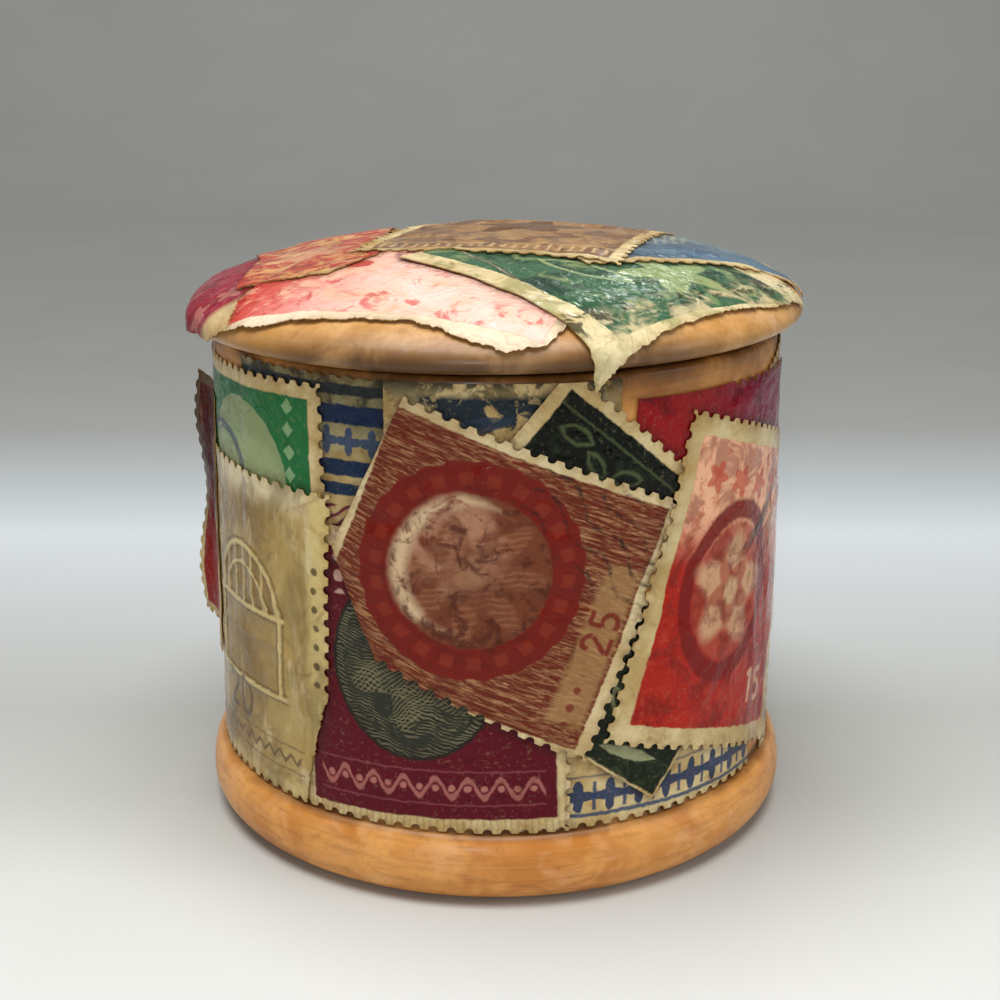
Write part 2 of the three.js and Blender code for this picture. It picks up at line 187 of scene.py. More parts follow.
class Finish(Tree):
    """The material of a piece. Places are in millimetres, and colours are mixed from web codes."""

    def __init__(self, name):
        self.material = bpy.data.materials.new(name)
        self.material.use_nodes = True
        super().__init__(self.material.node_tree)
        self.group.nodes.clear()

    def place(self):
        texture = self.node("ShaderNodeTexCoord", {}, [], 3)
        return texture.vector("MULTIPLY", (1000, 1000, 1000))

    def noise(self, place, scale, detail=2.0, rough=0.5, distortion=0.0, output=0):
        sockets = {"Vector": place, "Scale": scale, "Detail": detail}
        sockets |= {"Roughness": rough, "Distortion": distortion}
        return self.node("ShaderNodeTexNoise", {}, sockets, output)

    def mix(self, share, under, over, blend="MIX"):
        under, over = [ink(colour) if isinstance(colour, str) else colour for colour in (under, over)]
        sockets = {0: share, 6: under, 7: over}
        return self.node("ShaderNodeMix", {"data_type": "RGBA", "blend_type": blend}, sockets, 2)

    def surface(self, colour, rough, height, coat, coat_rough, shine=0.4):
        """Ends the material. height is the fine relief in millimetres."""
        bump = self.node("ShaderNodeBump", {}, {"Distance": MILLIMETRE, "Height": height})
        sockets = {
            "Base Color": colour,
            "Roughness": rough,
            "Specular IOR Level": shine,
            "Coat Weight": coat,
            "Coat Roughness": coat_rough,
            "Normal": bump,
        }
        shader = self.node("ShaderNodeBsdfPrincipled", {}, sockets)
        end = self.group.nodes.new("ShaderNodeOutputMaterial")
        self.group.links.new(shader.socket, end.inputs["Surface"])
        return self.material


def lathe_tree():
    """Spins a section, a line of points in the XZ plane, about the vertical axis."""
    shape = Shape("lathe", Flats="Int", Merge="Float")
    section = shape.inputs["Geometry"]
    rows = shape.node("GeometryNodeAttributeDomainSize", {}, [section])
    sizes = {"Vertices X": shape.inputs["Flats"] + 1, "Vertices Y": rows}
    sheet = shape.node("GeometryNodeMeshGrid", {}, sizes)
    index = shape.node("GeometryNodeInputIndex")
    row = index.math("MODULO", rows)
    column = (index / rows).math("FLOOR")
    angle = column * (2 * math.pi) / shape.inputs["Flats"]
    position = shape.node("GeometryNodeInputPosition")
    point = shape.node("GeometryNodeSampleIndex", {"data_type": "FLOAT_VECTOR"}, [section, position, row])
    radius = point.part(0)
    sides = [radius * angle.math("COSINE"), radius * angle.math("SINE"), point.part(2)]
    spun = shape.node("ShaderNodeCombineXYZ", {}, sides)
    placed = shape.node("GeometryNodeSetPosition", {}, {"Geometry": sheet, "Position": spun})
    closing = {"Geometry": placed, "Distance": shape.inputs["Merge"]}
    closed = shape.node("GeometryNodeMergeByDistance", {}, closing)
    smooth = shape.node("GeometryNodeSetShadeSmooth", {}, [closed])
    shape.finish(smooth)
    return shape


def arc(middle, size, start, end, steps):
    """Points of part of an ellipse, in radius and height."""
    angles = np.linspace(start, end, steps + 1)
    return [(middle[0] + size[0] * math.cos(a), middle[1] + size[1] * math.sin(a)) for a in angles]


def line(start, end, steps):
    """Points between two points, without the two."""
    return [tuple(point) for point in np.linspace(start, end, steps + 1)][1:-1]


def cup_section():
    high = (BEAD_RADIUS - WALL_LOW_RADIUS, BEAD_TOP - BEAD_MIDDLE)
    low = (BEAD_RADIUS - FOOT_RADIUS, BEAD_MIDDLE)
    outer = WALL_TOP_RADIUS - RIM_ROUND
    inner = BORE_RADIUS + RIM_ROUND
    rim = CUP_HEIGHT - RIM_ROUND
    floor = FLOOR_HEIGHT + FLOOR_FILLET
    bead = arc((FOOT_RADIUS, BEAD_MIDDLE), low, -QUARTER, 0, 14)
    bead += arc((WALL_LOW_RADIUS, BEAD_MIDDLE), high, 0, QUARTER, 14)[1:]
    edge = arc((outer, rim), (RIM_ROUND, RIM_ROUND), 0, QUARTER, 5)
    edge += arc((inner, rim), (RIM_ROUND, RIM_ROUND), QUARTER, math.pi, 5)
    corner = arc((BORE_RADIUS - FLOOR_FILLET, floor), (FLOOR_FILLET, FLOOR_FILLET), 0, -QUARTER, 6)
    middle = (0, FLOOR_HEIGHT)
    wall = line(bead[-1], edge[0], 20)
    bore = line(edge[-1], corner[0], 16)
    underside = line((0, 0), bead[0], 8)
    return [(0, 0), *underside, *bead, *wall, *edge, *bore, *corner, *line(corner[-1], middle, 8), middle]


def turn(name, section, material, tilt=0.0):
    """Turns a section on the lathe."""
    points = [(radius * MILLIMETRE, 0, height * MILLIMETRE) for radius, height in section]
    profile = bpy.data.meshes.new(name + "_section")
    profile.from_pydata(points, [(i, i + 1) for i in range(len(points) - 1)], [])
    mesh = LATHE.make(profile, Flats=TURNING_FLATS, Merge=WELD, Material=material)
    return finished(name, mesh, tilt)


def finished(name, mesh, tilt=0.0):
    """Gives a piece its name and its place in the scene."""
    if tilt:
        mesh.transform(seat_turn(tilt))
    mesh.name = name
    piece = bpy.data.objects.new(name, mesh)
    bpy.context.scene.collection.objects.link(piece)
    return piece


def turned_wood(name, tones, grain_scale, dirt_and_shade_bands):
    """Varnished hardwood off the lathe: fine rings of the tool, long grain, and flushes of pink.
    dirt_and_shade_bands holds the heights of darker bands of painted shade, with dirt in some, how far each
    reaches, and its share away from the front."""
    finish = Finish(name)
    place = finish.place()
    height = place.part(2)
    radius = place.vector("MULTIPLY", (1, 1, 0)).length()
    grain = finish.noise(place.vector("MULTIPLY", grain_scale), 1.0, 5, 0.62, 0.6)
    mottle = finish.noise(place, 0.16, 3, 0.6, 0.8)
    flush = finish.noise(place, 0.34, 2, 0.55, 0.4)
    rings = finish.noise(place.vector("MULTIPLY", (0.02, 0.02, 1.0)), 4.5, 3, 0.7)
    flecks = finish.noise(place.vector("MULTIPLY", (1.0, 1.0, 0.45)), 3.2, 2, 0.5)
    colour = finish.mix(mottle.ramp(0.36, 0.66), tones["base"], tones["deep"])
    colour = finish.mix(flush.ramp(0.5, 0.72, 0, 0.45), colour, tones["flush"])
    colour = finish.mix(grain.ramp(0.45, 0.75, 0, 0.45), colour, tones["grain"])
    colour = finish.mix(flecks.ramp(0.6, 0.78, 0, 0.35), colour, tones["grain"])
    colour = finish.mix(rings.ramp(0.52, 0.8, 0, 0.3), colour, tones["pale"])
    inner = radius.ramp(BORE_RADIUS + 1.3, BORE_RADIUS + 0.9)
    colour = finish.mix(inner * 0.55, colour, tones["pale"])
    # Each band darkens the wood about its height: painted shade, with dirt mixed in at some, weaker away from
    # the front.
    for middle, reach, elsewhere in dirt_and_shade_bands:
        dirt_and_shade = abs(height - middle).ramp(reach, 0.1) * (1 - inner) * mottle.ramp(0.3, 0.6, 0.45, 0.9)
        dirt_and_shade = dirt_and_shade * place.part(1).ramp(FRONT_FROM, FRONT_TO, elsewhere, 1.0)
        colour = finish.mix(dirt_and_shade, colour, tones["dirt_and_shade"])
    rough = grain * 0.16 + 0.3 + inner * 0.25
    relief = rings * 0.012 + grain * 0.012 - flecks.ramp(0.62, 0.8) * 0.01
    return finish.surface(colour, rough, relief, coat=0.08, coat_rough=0.2, shine=0.3)


LATHE = lathe_tree()
cup_tones = {
    "base": "e29f52",
    "deep": "c67e34",
    "flush": "e8ae78",
    "grain": "8f4f22",
    "pale": "e9c08a",
    "dirt_and_shade": "4f2f14",
}
# Darker bands on the cup: where the bead meets the paper, dirt and painted shadow under the perforations; at
# the top of the wall, dirt and painted shade under the lid's overhang.
cup_dirt_and_shade = [(BEAD_TOP + 0.3, 0.9, 1.0), (CUP_HEIGHT, 3.3, 1.0)]
cup_wood = turned_wood("cup_wood", cup_tones, (0.25, 0.25, 1.6), cup_dirt_and_shade)
cup = turn("cup_turning", cup_section(), cup_wood)
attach(cup, "cup")
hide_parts("turned_cup")

# The lid. A second turning, of paler wood: a low crown over a rounded edge, and a tenon that drops into the
# bore. It sits a little low at its left, as the photograph shows.
SEAT_GAP = 0.3
LID_UNDERSIDE_RADIUS = 22.6
LID_RADIUS = 24.6
LID_EDGE_RISE = 0.9
LID_CROWN_RISE = 5.1
TENON_RADIUS = 19.3
TENON_DEPTH = 3.8
TENON_CHAMFER = 0.6
LID_BOTTOM = CUP_HEIGHT + SEAT_GAP
LID_EDGE_HEIGHT = LID_BOTTOM + LID_EDGE_RISE
LID_TILT = math.radians(-0.6)


def seat_turn(tilt):
    """The turn about the middle of the seat that lets the lid's left side down."""
    seat = Matrix.Translation((0, 0, LID_BOTTOM * MILLIMETRE))
    return seat @ Matrix.Rotation(tilt, 4, "Y") @ seat.inverted()


def lid_profile(angle, lift):
    """Radius and height on the lid's outside, lifted square off the wood. The angle is a quarter turn at the
    top, zero at the widest line, and below zero on the round that runs in to the underside."""
    above = angle >= 0
    middle = np.where(above, 0, LID_UNDERSIDE_RADIUS)
    reach = LID_RADIUS - middle
    rise = np.where(above, LID_CROWN_RISE, LID_EDGE_RISE)
    outwards = np.stack([rise * np.cos(angle), reach * np.sin(angle)])
    outwards = outwards / np.linalg.norm(outwards, axis=0) * lift
    radius = middle + reach * np.cos(angle)
    return radius + outwards[0], LID_EDGE_HEIGHT + rise * np.sin(angle) + outwards[1]


def lid_section():
    tenon_end = LID_BOTTOM - TENON_DEPTH
    shoulder = (TENON_RADIUS - TENON_CHAMFER, tenon_end)
    side = (TENON_RADIUS, tenon_end + TENON_CHAMFER)
    seat = (TENON_RADIUS, LID_BOTTOM)
    crown = QUARTER * np.linspace(0, 1, 57)[1:] ** 1.4
    angles = np.concatenate([np.linspace(-QUARTER, 0, 15), crown])
    outside = np.stack(lid_profile(angles, 0), axis=1).tolist()
    outside[-1][0] = 0
    under = line((0, tenon_end), shoulder, 8)
    return [(0, tenon_end), *under, shoulder, side, *line(side, seat, 4), seat, *outside]


lid_tones = {
    "base": "dcaa6c",
    "deep": "c68f4c",
    "flush": "dcae88",
    "grain": "94633a",
    "pale": "e6c693",
    "dirt_and_shade": "4f3318",
}
# Painted shade on the lid: its rounded edge darker towards its lower side, mostly at the front.
lid_painted_shade = [(LID_BOTTOM, 4.3, 0.3), (LID_BOTTOM, 2.6, 0.35)]
lid_wood = turned_wood("lid_wood", lid_tones, (1.5, 1.5, 0.3), lid_painted_shade)
lid = turn("lid_turning", lid_section(), lid_wood, LID_TILT)
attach(lid, "lid")
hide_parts("turned_lid")

# The first stamp on the wall, a cream one low at the right. Every stamp is a sheet of gummed paper,
# perforated round its sides, or cut or torn there. It is pasted on over what lies there already.
PAPER_THICKNESS = 0.1
PASTE = 0.03
MEAN_RADIUS = (WALL_LOW_RADIUS + WALL_TOP_RADIUS) / 2
DEGREE = math.radians(1) * MEAN_RADIUS
WALL_ROUND = 2 * math.pi * MEAN_RADIUS
WALL_PAPER_LOW = 5.65
WALL_PAPER_HIGH = 39.9
STACK_HIGH = 40
HOLE_PITCH = 1.3
HOLE_RADIUS = 0.38
SAMPLES_PER_HOLE = 10
TORN_DEPTH = 0.28
CUT_WAVER = 0.03
TRIANGLE = 0.52
FINE_TRIANGLE = 0.34
TRIANGLE_RISE = 0.866
CLEAR_OF_EDGE = 0.55
HEM_STEP = 0.4
RASTER = 0.1
STEP_REACH = 0.3
GRIME_AND_SHADE_REACH = 0.4
CURL_REACH = 0.8
RIM_REACH = 0.35
PASTED = []


def edge_tree():
    """Makes the sides of a stamp from straight lines: half-round bites at the pitch of the perforation, or a
    torn run. Every side is a line of its own, with the depth of both as attributes."""
    shape = Shape("perforated_edge", Pitch="Float", Samples="Float", Seed="Float")
    settings = {"data_type": "FLOAT"}
    bite = shape.node("GeometryNodeInputNamedAttribute", settings, ["bite"])
    torn = shape.node("GeometryNodeInputNamedAttribute", settings, ["torn"])
    curve = shape.node("GeometryNodeMeshToCurve", {}, [shape.inputs["Geometry"]])
    length = shape.node("GeometryNodeSplineLength")
    holes = (length / shape.inputs["Pitch"]).math("ROUND").math("MAXIMUM", 1)
    count = holes * shape.inputs["Samples"] + 1
    fine = shape.node("GeometryNodeResampleCurve", {"mode": "COUNT"}, {"Curve": curve, "Count": count})
    share = shape.node("GeometryNodeSplineParameter")
    from_hole = ((share * holes).math("FRACT") - 0.5) * (length / holes)
    depth = (bite * bite - from_hole * from_hole).math("MAXIMUM", 0).math("SQRT")
    offset = shape.node("ShaderNodeCombineXYZ", {}, [0.0, 0.0, shape.inputs["Seed"]])
    place = shape.node("GeometryNodeInputPosition").vector("ADD", offset)
    ragged_noise = {"Vector": place, "Scale": 0.9, "Detail": 5.0, "Roughness": 0.75}
    fray = shape.node("ShaderNodeTexNoise", {}, ragged_noise)
    end = abs(abs(share - 0.5) - 0.5) * length
    ragged = (fray - 0.5) * torn * 4 * end.ramp(0, 0.8)
    tangent = shape.node("GeometryNodeInputTangent")
    inwards = shape.node("ShaderNodeVectorMath", {"operation": "CROSS_PRODUCT"}, [(0, 0, 1), tangent])
    reach = shape.node("ShaderNodeCombineXYZ", {}, [depth + ragged] * 3)
    shift = inwards.vector("MULTIPLY", reach)
    moved = shape.node("GeometryNodeSetPosition", {}, {"Geometry": fine, "Offset": shift})
    outline = shape.node("GeometryNodeCurveToMesh", {}, [moved])
    joined = shape.node("GeometryNodeMergeByDistance", {}, {"Geometry": outline, "Distance": 0.001})
    shape.finish(joined)
    return shape


def walked(mesh):
    """The points of a closed line of edges, in their order round it."""
    beside = {i: [] for i in range(len(mesh.vertices))}
    for edge in mesh.edges:
        a, b = edge.vertices
        beside[a].append(b)
        beside[b].append(a)
    walk, before = [0], None
    while True:
        onwards = next(i for i in beside[walk[-1]] if i != before)
        if onwards == 0:
            break
        before = walk[-1]
        walk.append(onwards)
    places = np.array([vertex.co[:2] for vertex in mesh.vertices])
    return places[walk]


def outline_of(corners, seed):
    """The outline of a stamp, from corners (x, y, side), where side says how the paper ends from there to the
    next corner: p perforated, c cut, t torn."""
    points, depths = [], []
    for i, (x, y, side) in enumerate(corners):
        following = corners[(i + 1) % len(corners)]
        points += [(x, y, 0), (following[0], following[1], 0)]
        depths += [(HOLE_RADIUS if side == "p" else 0, TORN_DEPTH if side == "t" else CUT_WAVER)] * 2
    mesh = bpy.data.meshes.new("sides")
    mesh.from_pydata(points, [(i, i + 1) for i in range(0, len(points), 2)], [])
    for name, values in zip(("bite", "torn"), zip(*depths)):
        mesh.attributes.new(name, "FLOAT", "POINT").data.foreach_set("value", values)
    return walked(EDGE.make(mesh, Pitch=HOLE_PITCH, Samples=float(SAMPLES_PER_HOLE), Seed=float(seed)))


def trimmed(loop, excess, onto):
    """Trims an outline where excess is above zero, along the line that onto moves points to."""
    over = excess(loop) > 0
    if not over.any():
        return loop
    start = int(np.flatnonzero(~over & np.roll(over, -1))[0])
    loop, over = np.roll(loop, -start, axis=0), np.roll(over, -start)
    kept, i = [], 0
    while i < len(loop):
        if not over[i]:
            kept.append(loop[i])
            i += 1
            continue
        run = i
        while run < len(loop) and over[run]:
            run += 1
        ends = onto(np.array([loop[i], loop[run - 1]]))
        steps = max(1, int(np.linalg.norm(ends[1] - ends[0]) / HEM_STEP))
        kept += list(onto(np.linspace(ends[0], ends[1], steps + 1)))
        i = run
    return np.array(kept)


def cut_level(loop, edge, way):
    """Trims an outline at one height of the wall. What lies above goes where way is 1, and what lies below
    goes where it is -1."""

    def onto(points):
        return np.stack([points[:, 0], np.full(len(points), edge)], axis=1)

    return trimmed(loop, lambda points: way * (points[:, 1] - edge), onto)


def cut_round(loop, hem):
    """Trims an outline along a circle about the top of the lid."""

    def onto(points):
        return points * (hem / np.hypot(*points.T))[:, None]

    return trimmed(loop, lambda points: np.hypot(*points.T) - hem, onto)


def within(points, loop):
    """Which points lie inside the outline."""
    a, b = loop, np.roll(loop, -1, axis=0)
    x, y = points[:, :1], points[:, 1:]
    crossing = (a[:, 1] <= y) != (b[:, 1] <= y)
    rise = np.where(b[:, 1] == a[:, 1], 1, b[:, 1] - a[:, 1])
    at = a[:, 0] + (y - a[:, 1]) * (b[:, 0] - a[:, 0]) / rise
    return (crossing & (at > x)).sum(1) % 2 == 1


def nearness(points, loop):
    """How far each point is from the outline."""
    return np.array([np.linalg.norm(loop - point, axis=1).min() for point in points])


def meshed(loop, spacing):
    """Fills an outline with small triangles."""
    low, high = loop.min(0), loop.max(0)
    rows = np.arange(low[1], high[1], spacing * TRIANGLE_RISE)
    inner = [
        (x, y)
        for i, y in enumerate(rows)
        for x in np.arange(low[0] + (i % 2) * spacing / 2, high[0], spacing)
    ]
    inner = np.array(inner)
    inner = inner[within(inner, loop)]
    inner = inner[nearness(inner, loop) > spacing * CLEAR_OF_EDGE]
    points = [Vector(point) for point in np.concatenate([loop, inner])]
    places, _, faces, *_ = delaunay_2d_cdt(points, [], [list(range(len(loop)))], 1, 1e-5)
    return np.array([tuple(place) for place in places]), [list(face) for face in faces]


def blurred(field, radius):
    """The field with a Gaussian blur of that radius, in millimetres."""
    frequencies = [np.fft.fftfreq(n, RASTER) for n in field.shape]
    square = frequencies[0][:, None] ** 2 + frequencies[1][None] ** 2
    return np.fft.ifft2(np.fft.fft2(field) * np.exp(-2 * (math.pi * radius) ** 2 * square)).real


def ripples(points, seed, size, height):
    """Soft creases: a sum of waves in many directions, which close on themselves round the wall."""
    random = np.random.default_rng(seed)
    total = np.zeros(len(points))
    for _ in range(9):
        angle = random.uniform(0, 2 * math.pi)
        length = size * random.uniform(0.6, 1.8)
        across = round(WALL_ROUND * math.cos(angle) / length) / WALL_ROUND
        up = math.sin(angle) / length
        total += np.sin(2 * math.pi * (points @ (across, up)) + random.uniform(0, 7))
    return height * np.clip(0.5 + total / 7, 0, 1)


class Ground:
    """The outside of one turning, rolled out flat. It remembers how high the paper is stacked on it."""

    def __init__(self, prefix, body, low, high, unit, place, relief, tilt=0.0, joins=False):
        self.prefix = prefix
        self.body = body
        self.low = np.array(low)
        self.unit = np.array(unit)
        self.place = place
        self.relief = relief
        self.tilt = tilt
        self.round = high[0] - low[0] if joins else 0
        self.stack = np.zeros([int(round((b - a) / RASTER)) for a, b in zip(low, high)])
        self.laid = []

    def spread(self, loop):
        """Where a stamp lies: 1 on it, falling to 0 at its edge."""
        cover = np.zeros(self.stack.shape)
        across = self.low[0] + (np.arange(cover.shape[0]) + 0.5) * RASTER
        for shift in (-self.round, 0, self.round) if self.round else (0,):
            a = loop + (shift, 0)
            b = np.roll(a, -1, axis=0)
            for j in range(cover.shape[1]):
                y = self.low[1] + (j + 0.5) * RASTER
                hit = (a[:, 1] <= y) != (b[:, 1] <= y)
                if hit.any():
                    share = (y - a[hit, 1]) / (b[hit, 1] - a[hit, 1])
                    crossings = np.sort(a[hit, 0] + share * (b[hit, 0] - a[hit, 0]))
                    cover[:, j] += np.searchsorted(crossings, across) % 2
        return np.clip(2 * blurred(cover, STEP_REACH), 0, 1)

    def read(self, field, points):
        """The value of a field at each point."""
        at = (points - self.low) / RASTER - 0.5
        base = np.floor(at).astype(int)
        share = at - base
        total = 0
        for i in (0, 1):
            for j in (0, 1):
                column = (base[:, 0] + i) % field.shape[0]
                row = np.clip(base[:, 1] + j, 0, field.shape[1] - 1)
                weight = np.abs(1 - i - share[:, 0]) * np.abs(1 - j - share[:, 1])
                total = total + field[column, row] * weight
        return total

    def soil_and_shade(self):
        """Leaves dirt and painted shade on every stamp along the edges of those that were pasted over it."""
        above = np.zeros(self.stack.shape)
        for piece, points, cover in reversed(self.laid):
            grime = np.clip(1.5 * self.read(blurred(above, GRIME_AND_SHADE_REACH), points), 0, 1)
            values = np.concatenate([0 * grime, grime]).astype(np.float32)
            piece.data.attributes["grime"].data.foreach_set("value", values)
            above = np.maximum(above, cover)


def on_wall(points, lift):
    angle = points[:, 0] / MEAN_RADIUS
    share = (points[:, 1] - BEAD_TOP) / (CUP_HEIGHT - BEAD_TOP)
    radius = WALL_LOW_RADIUS + share * (WALL_TOP_RADIUS - WALL_LOW_RADIUS) + lift
    return np.stack([radius * np.sin(angle), -radius * np.cos(angle), points[:, 1]], axis=1)


def sheet_mesh(name, points, faces, place, lift, print_place):
    """The thin shell of a stamp: its two faces and its narrow edge."""
    low = place(points, lift)
    high = place(points, lift + PAPER_THICKNESS)
    count = len(points)
    sides = {side for a, b, c in faces for side in ((a, b), (b, c), (c, a))}
    edges = sorted(side for side in sides if (side[1], side[0]) not in sides)
    shell = [(a, c, b) for a, b, c in faces]
    shell += [(a + count, b + count, c + count) for a, b, c in faces]
    shell += [(a, b, b + count, a + count) for a, b in edges]
    mesh = bpy.data.meshes.new(name)
    mesh.from_pydata(np.concatenate([low, high]) * MILLIMETRE, [], shell)
    mesh.shade_smooth()
    mesh.set_sharp_from_angle(angle=math.radians(50))
    corners = np.zeros(len(mesh.loops), dtype=int)
    mesh.loops.foreach_get("vertex_index", corners)
    layer = mesh.uv_layers.new(name="print")
    layer.uv.foreach_set("vector", np.tile(print_place, (2, 1))[corners].ravel().astype(np.float32))
    return mesh


class Stamp(Finish):
    """One stamp: where it goes, its paper, and its printing, which is laid on ink by ink."""

    def __init__(self, ground, name, size, middle, turn):
        super().__init__("print_" + name)
        self.ground = ground
        self.name = name
        self.wide, self.tall = size
        self.middle = np.array(middle) * ground.unit
        self.turn = math.radians(turn)
        self.seed = len(PASTED) + 1
        uv = self.node("ShaderNodeUVMap", {"uv_map": "print"})
        size = (self.wide, self.tall, 1)
        self.flat = uv.vector("MULTIPLY_ADD", size, (-self.wide / 2, -self.tall / 2, self.seed * 13.7))
        waver = self.noise(self.flat, 1.5, 3, output=1).vector("MULTIPLY_ADD", (0.34,) * 3, (-0.17,) * 3)
        self.plane = self.flat.vector("ADD", waver).vector("MULTIPLY", (1, 1, 0))
        self.fine = self.noise(self.flat, 2.6, 4, 0.65)
        self.broad = self.noise(self.flat, 0.22, 3, 0.6, 0.5)
        self.worn = self.fine.ramp(0.28, 0.45, 0.86, 1.0)
        self.colour = self.mix(self.broad.ramp(0.35, 0.68), "dccb9c", "bfa46c")
        self.colour = self.mix(self.fine.ramp(0.52, 0.8, 0, 0.4), self.colour, "efe4c0")

    def at(self, x, y, turn=0.0, wide=1.0, tall=1.0):
        """The plane as a motif sees it from its own middle."""
        sockets = {
            "Vector": self.plane,
            "Location": (x, y, 0),
            "Rotation": (0, 0, math.radians(turn)),
            "Scale": (wide, tall, 1),
        }
        return self.node("ShaderNodeMapping", {"vector_type": "TEXTURE"}, sockets)

    def wash(self, cover, colour, blend="MIX"):
        """Inks a cover that goes from 0 to 1."""
        self.colour = self.mix(cover, self.colour, colour, blend)

    def lay(self, shape, colour, cover=1.0, soft=0.08):
        """Inks a shape, given as the distance to its outline, which is below zero inside it."""
        self.wash(shape.ramp(soft, -soft) * cover * self.worn, colour)

    def panel(self, colour, inset=1.6):
        """The printed panel inside the paper border."""
        panel = block(self.plane, self.wide - 2 * inset, self.tall - 2 * inset)
        self.lay(panel, colour)
        return panel

    def hatch(self, turn, pitch, share=0.4, waver=1.0):
        """Engraved lines, from 0 between them to 1 on them."""
        across = self.at(0, 0, turn).part(1) + self.noise(self.flat, 0.5) * waver
        return (across.math("PINGPONG", pitch / 2) / pitch).ramp(share / 2 + 0.12, share / 2 - 0.12)

    def blotch(self, scale, start, end, stretch=(1, 1, 1), detail=3):
        """Uneven ink, in patches."""
        return self.noise(self.flat.vector("MULTIPLY", stretch), scale, detail, 0.68, 0.6).ramp(start, end)

    def cancel(self, x, y, turn, strength=0.6):
        """The post office's wavy bars, in worn black ink."""
        plane = self.at(x, y, turn)
        wave = plane.part(1) - (plane.part(0) * 1.1).math("SINE") * 0.45
        bars = (wave.math("PINGPONG", 0.85) - 0.16).ramp(0.1, -0.1)
        patch = block(plane, 13, 7).ramp(0.8, -0.8)
        self.wash(bars * patch * self.blotch(1.1, 0.38, 0.62) * strength, "201e1a")

    def age(self, gloss=0.26, age=0.4, crease=0.02, shine=0.15):
        """Yellowing, dirt, painted shade along the edges of later stamps, and varnish, which end the
        material.
        """
        stain = self.noise(self.flat, 0.33, 4, 0.68, 1.1)
        speck = self.noise(self.flat, 1.7, 3, 0.7)
        near_edge, grime, front = [
            self.node("ShaderNodeAttribute", {"attribute_name": name}, [], 2)
            for name in ("rim", "grime", "front")
        ]
        self.wash(self.broad.ramp(0.3, 0.7, 0.1, age), "dcbf80", "MULTIPLY")
        self.wash(stain.ramp(0.55, 0.78, 0, 0.6), "a67f45", "MULTIPLY")
        self.wash(speck.ramp(0.64, 0.82, 0, 0.3), "6f5030", "MULTIPLY")
        self.wash(near_edge * speck.ramp(0.3, 0.6, 0.0, 0.4), "a5803f", "MULTIPLY")
        # Darker along the edges of stamps pasted on top: dirt, and painted shade at the step they make.
        self.wash(grime * speck.ramp(0.3, 0.62, 0.25, 0.65), "5a3c20", "MULTIPLY")
        gum = self.mix(stain, "c8a465", "9a6d34")
        colour = self.mix(front.ramp(0.3, 0.7), gum, self.colour)
        rough = stain.ramp(0.35, 0.65, gloss - 0.14, gloss + 0.08)
        folds = abs(self.noise(self.flat, 0.3, 2, 0.5, 0.8) - 0.5).ramp(0.05, 0.0)
        lumps = self.noise(self.flat, 0.75, 2, 0.5)
        relief = self.fine * 0.02 + lumps * 0.2 + folds * crease
        return self.surface(colour, rough, relief, coat=0.0, coat_rough=0.1, shine=shine)

    def whole(self, sides):
        """The corners of the whole stamp, anticlockwise from the lower left. sides names the perforated."""
        cos, sin = math.cos(self.turn), math.sin(self.turn)
        found = []
        for x, y, side in ((-1, -1, "b"), (1, -1, "r"), (1, 1, "t"), (-1, 1, "l")):
            across, up = x * self.wide / 2, y * self.tall / 2
            place = self.middle + (across * cos - up * sin, across * sin + up * cos)
            found.append((*place, "p" if side in sides else "c"))
        return found

    def local(self, points):
        """Places on the stamp itself, from places on the ground."""
        cos, sin = math.cos(self.turn), math.sin(self.turn)
        flat = points - self.middle
        return np.stack([flat[:, 0] * cos + flat[:, 1] * sin, flat[:, 1] * cos - flat[:, 0] * sin], axis=1)

    def paste(self, slot, ends, hem=None, spacing=TRIANGLE, emboss=None, place=None, curl=0.05, **looks):
        """Pastes the stamp. ends is the letters of its perforated sides if it is whole, or its corners."""
        ground = self.ground
        if isinstance(ends, str):
            corners = self.whole(ends)
        else:
            corners = [(*(np.array(corner[:2]) * ground.unit), corner[2]) for corner in ends]
        loop = outline_of(corners, self.seed * 3.1)
        if hem:
            loop = cut_round(loop, hem)
        else:
            loop = cut_level(cut_level(loop, WALL_PAPER_HIGH, 1), WALL_PAPER_LOW, -1)
        points, faces = meshed(loop, spacing)
        cover = ground.spread(loop)
        distance = nearness(points, loop)
        lift = PASTE + ground.read(ground.stack, points) + ground.relief(points)
        lift = lift + curl * np.exp(-distance / CURL_REACH)
        if emboss:
            lift = lift + emboss(self.local(points))
        size = (self.wide, self.tall)
        name = ground.prefix + self.name
        mesh = sheet_mesh(name, points, faces, place or ground.place, lift, self.local(points) / size + 0.5)
        fields = {"front": 1 + 0 * distance, "rim": np.exp(-distance / RIM_REACH), "grime": 0 * distance}
        for label, values in fields.items():
            doubled = np.concatenate([0 * values, values]).astype(np.float32)
            mesh.attributes.new(label, "FLOAT", "POINT").data.foreach_set("value", doubled)
        mesh.materials.append(self.age(**looks))
        piece = finished(name + "_paper", mesh, ground.tilt)
        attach(piece, ground.body)
        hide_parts(name)
        ground.stack += cover * (PAPER_THICKNESS + PASTE)
        ground.laid.append((piece, points, cover))
        PASTED.append(piece)


def disc(plane, radius):
    return plane.length() - radius


def ring(plane, radius, width):
    return abs(disc(plane, radius)) - width / 2


def block(plane, wide, tall):
    across, up = abs(plane.part(0)) - wide / 2, abs(plane.part(1)) - tall / 2
    return across.math("MAXIMUM", up)


def petals(plane, radius, count, depth):
    """A blossom or a scalloped disc."""
    angle = plane.part(1).math("ARCTAN2", plane.part(0))
    wave = (angle * count).math("COSINE") * depth + 1
    return plane.length() - wave * radius


def leaf(plane, long, wide):
    """Two arcs that meet in points."""
    radius = (long * long + wide * wide) / (4 * wide)
    plane = plane.vector("ABSOLUTE").vector("ADD", (0, radius - wide / 2, 0))
    return plane.length() - radius


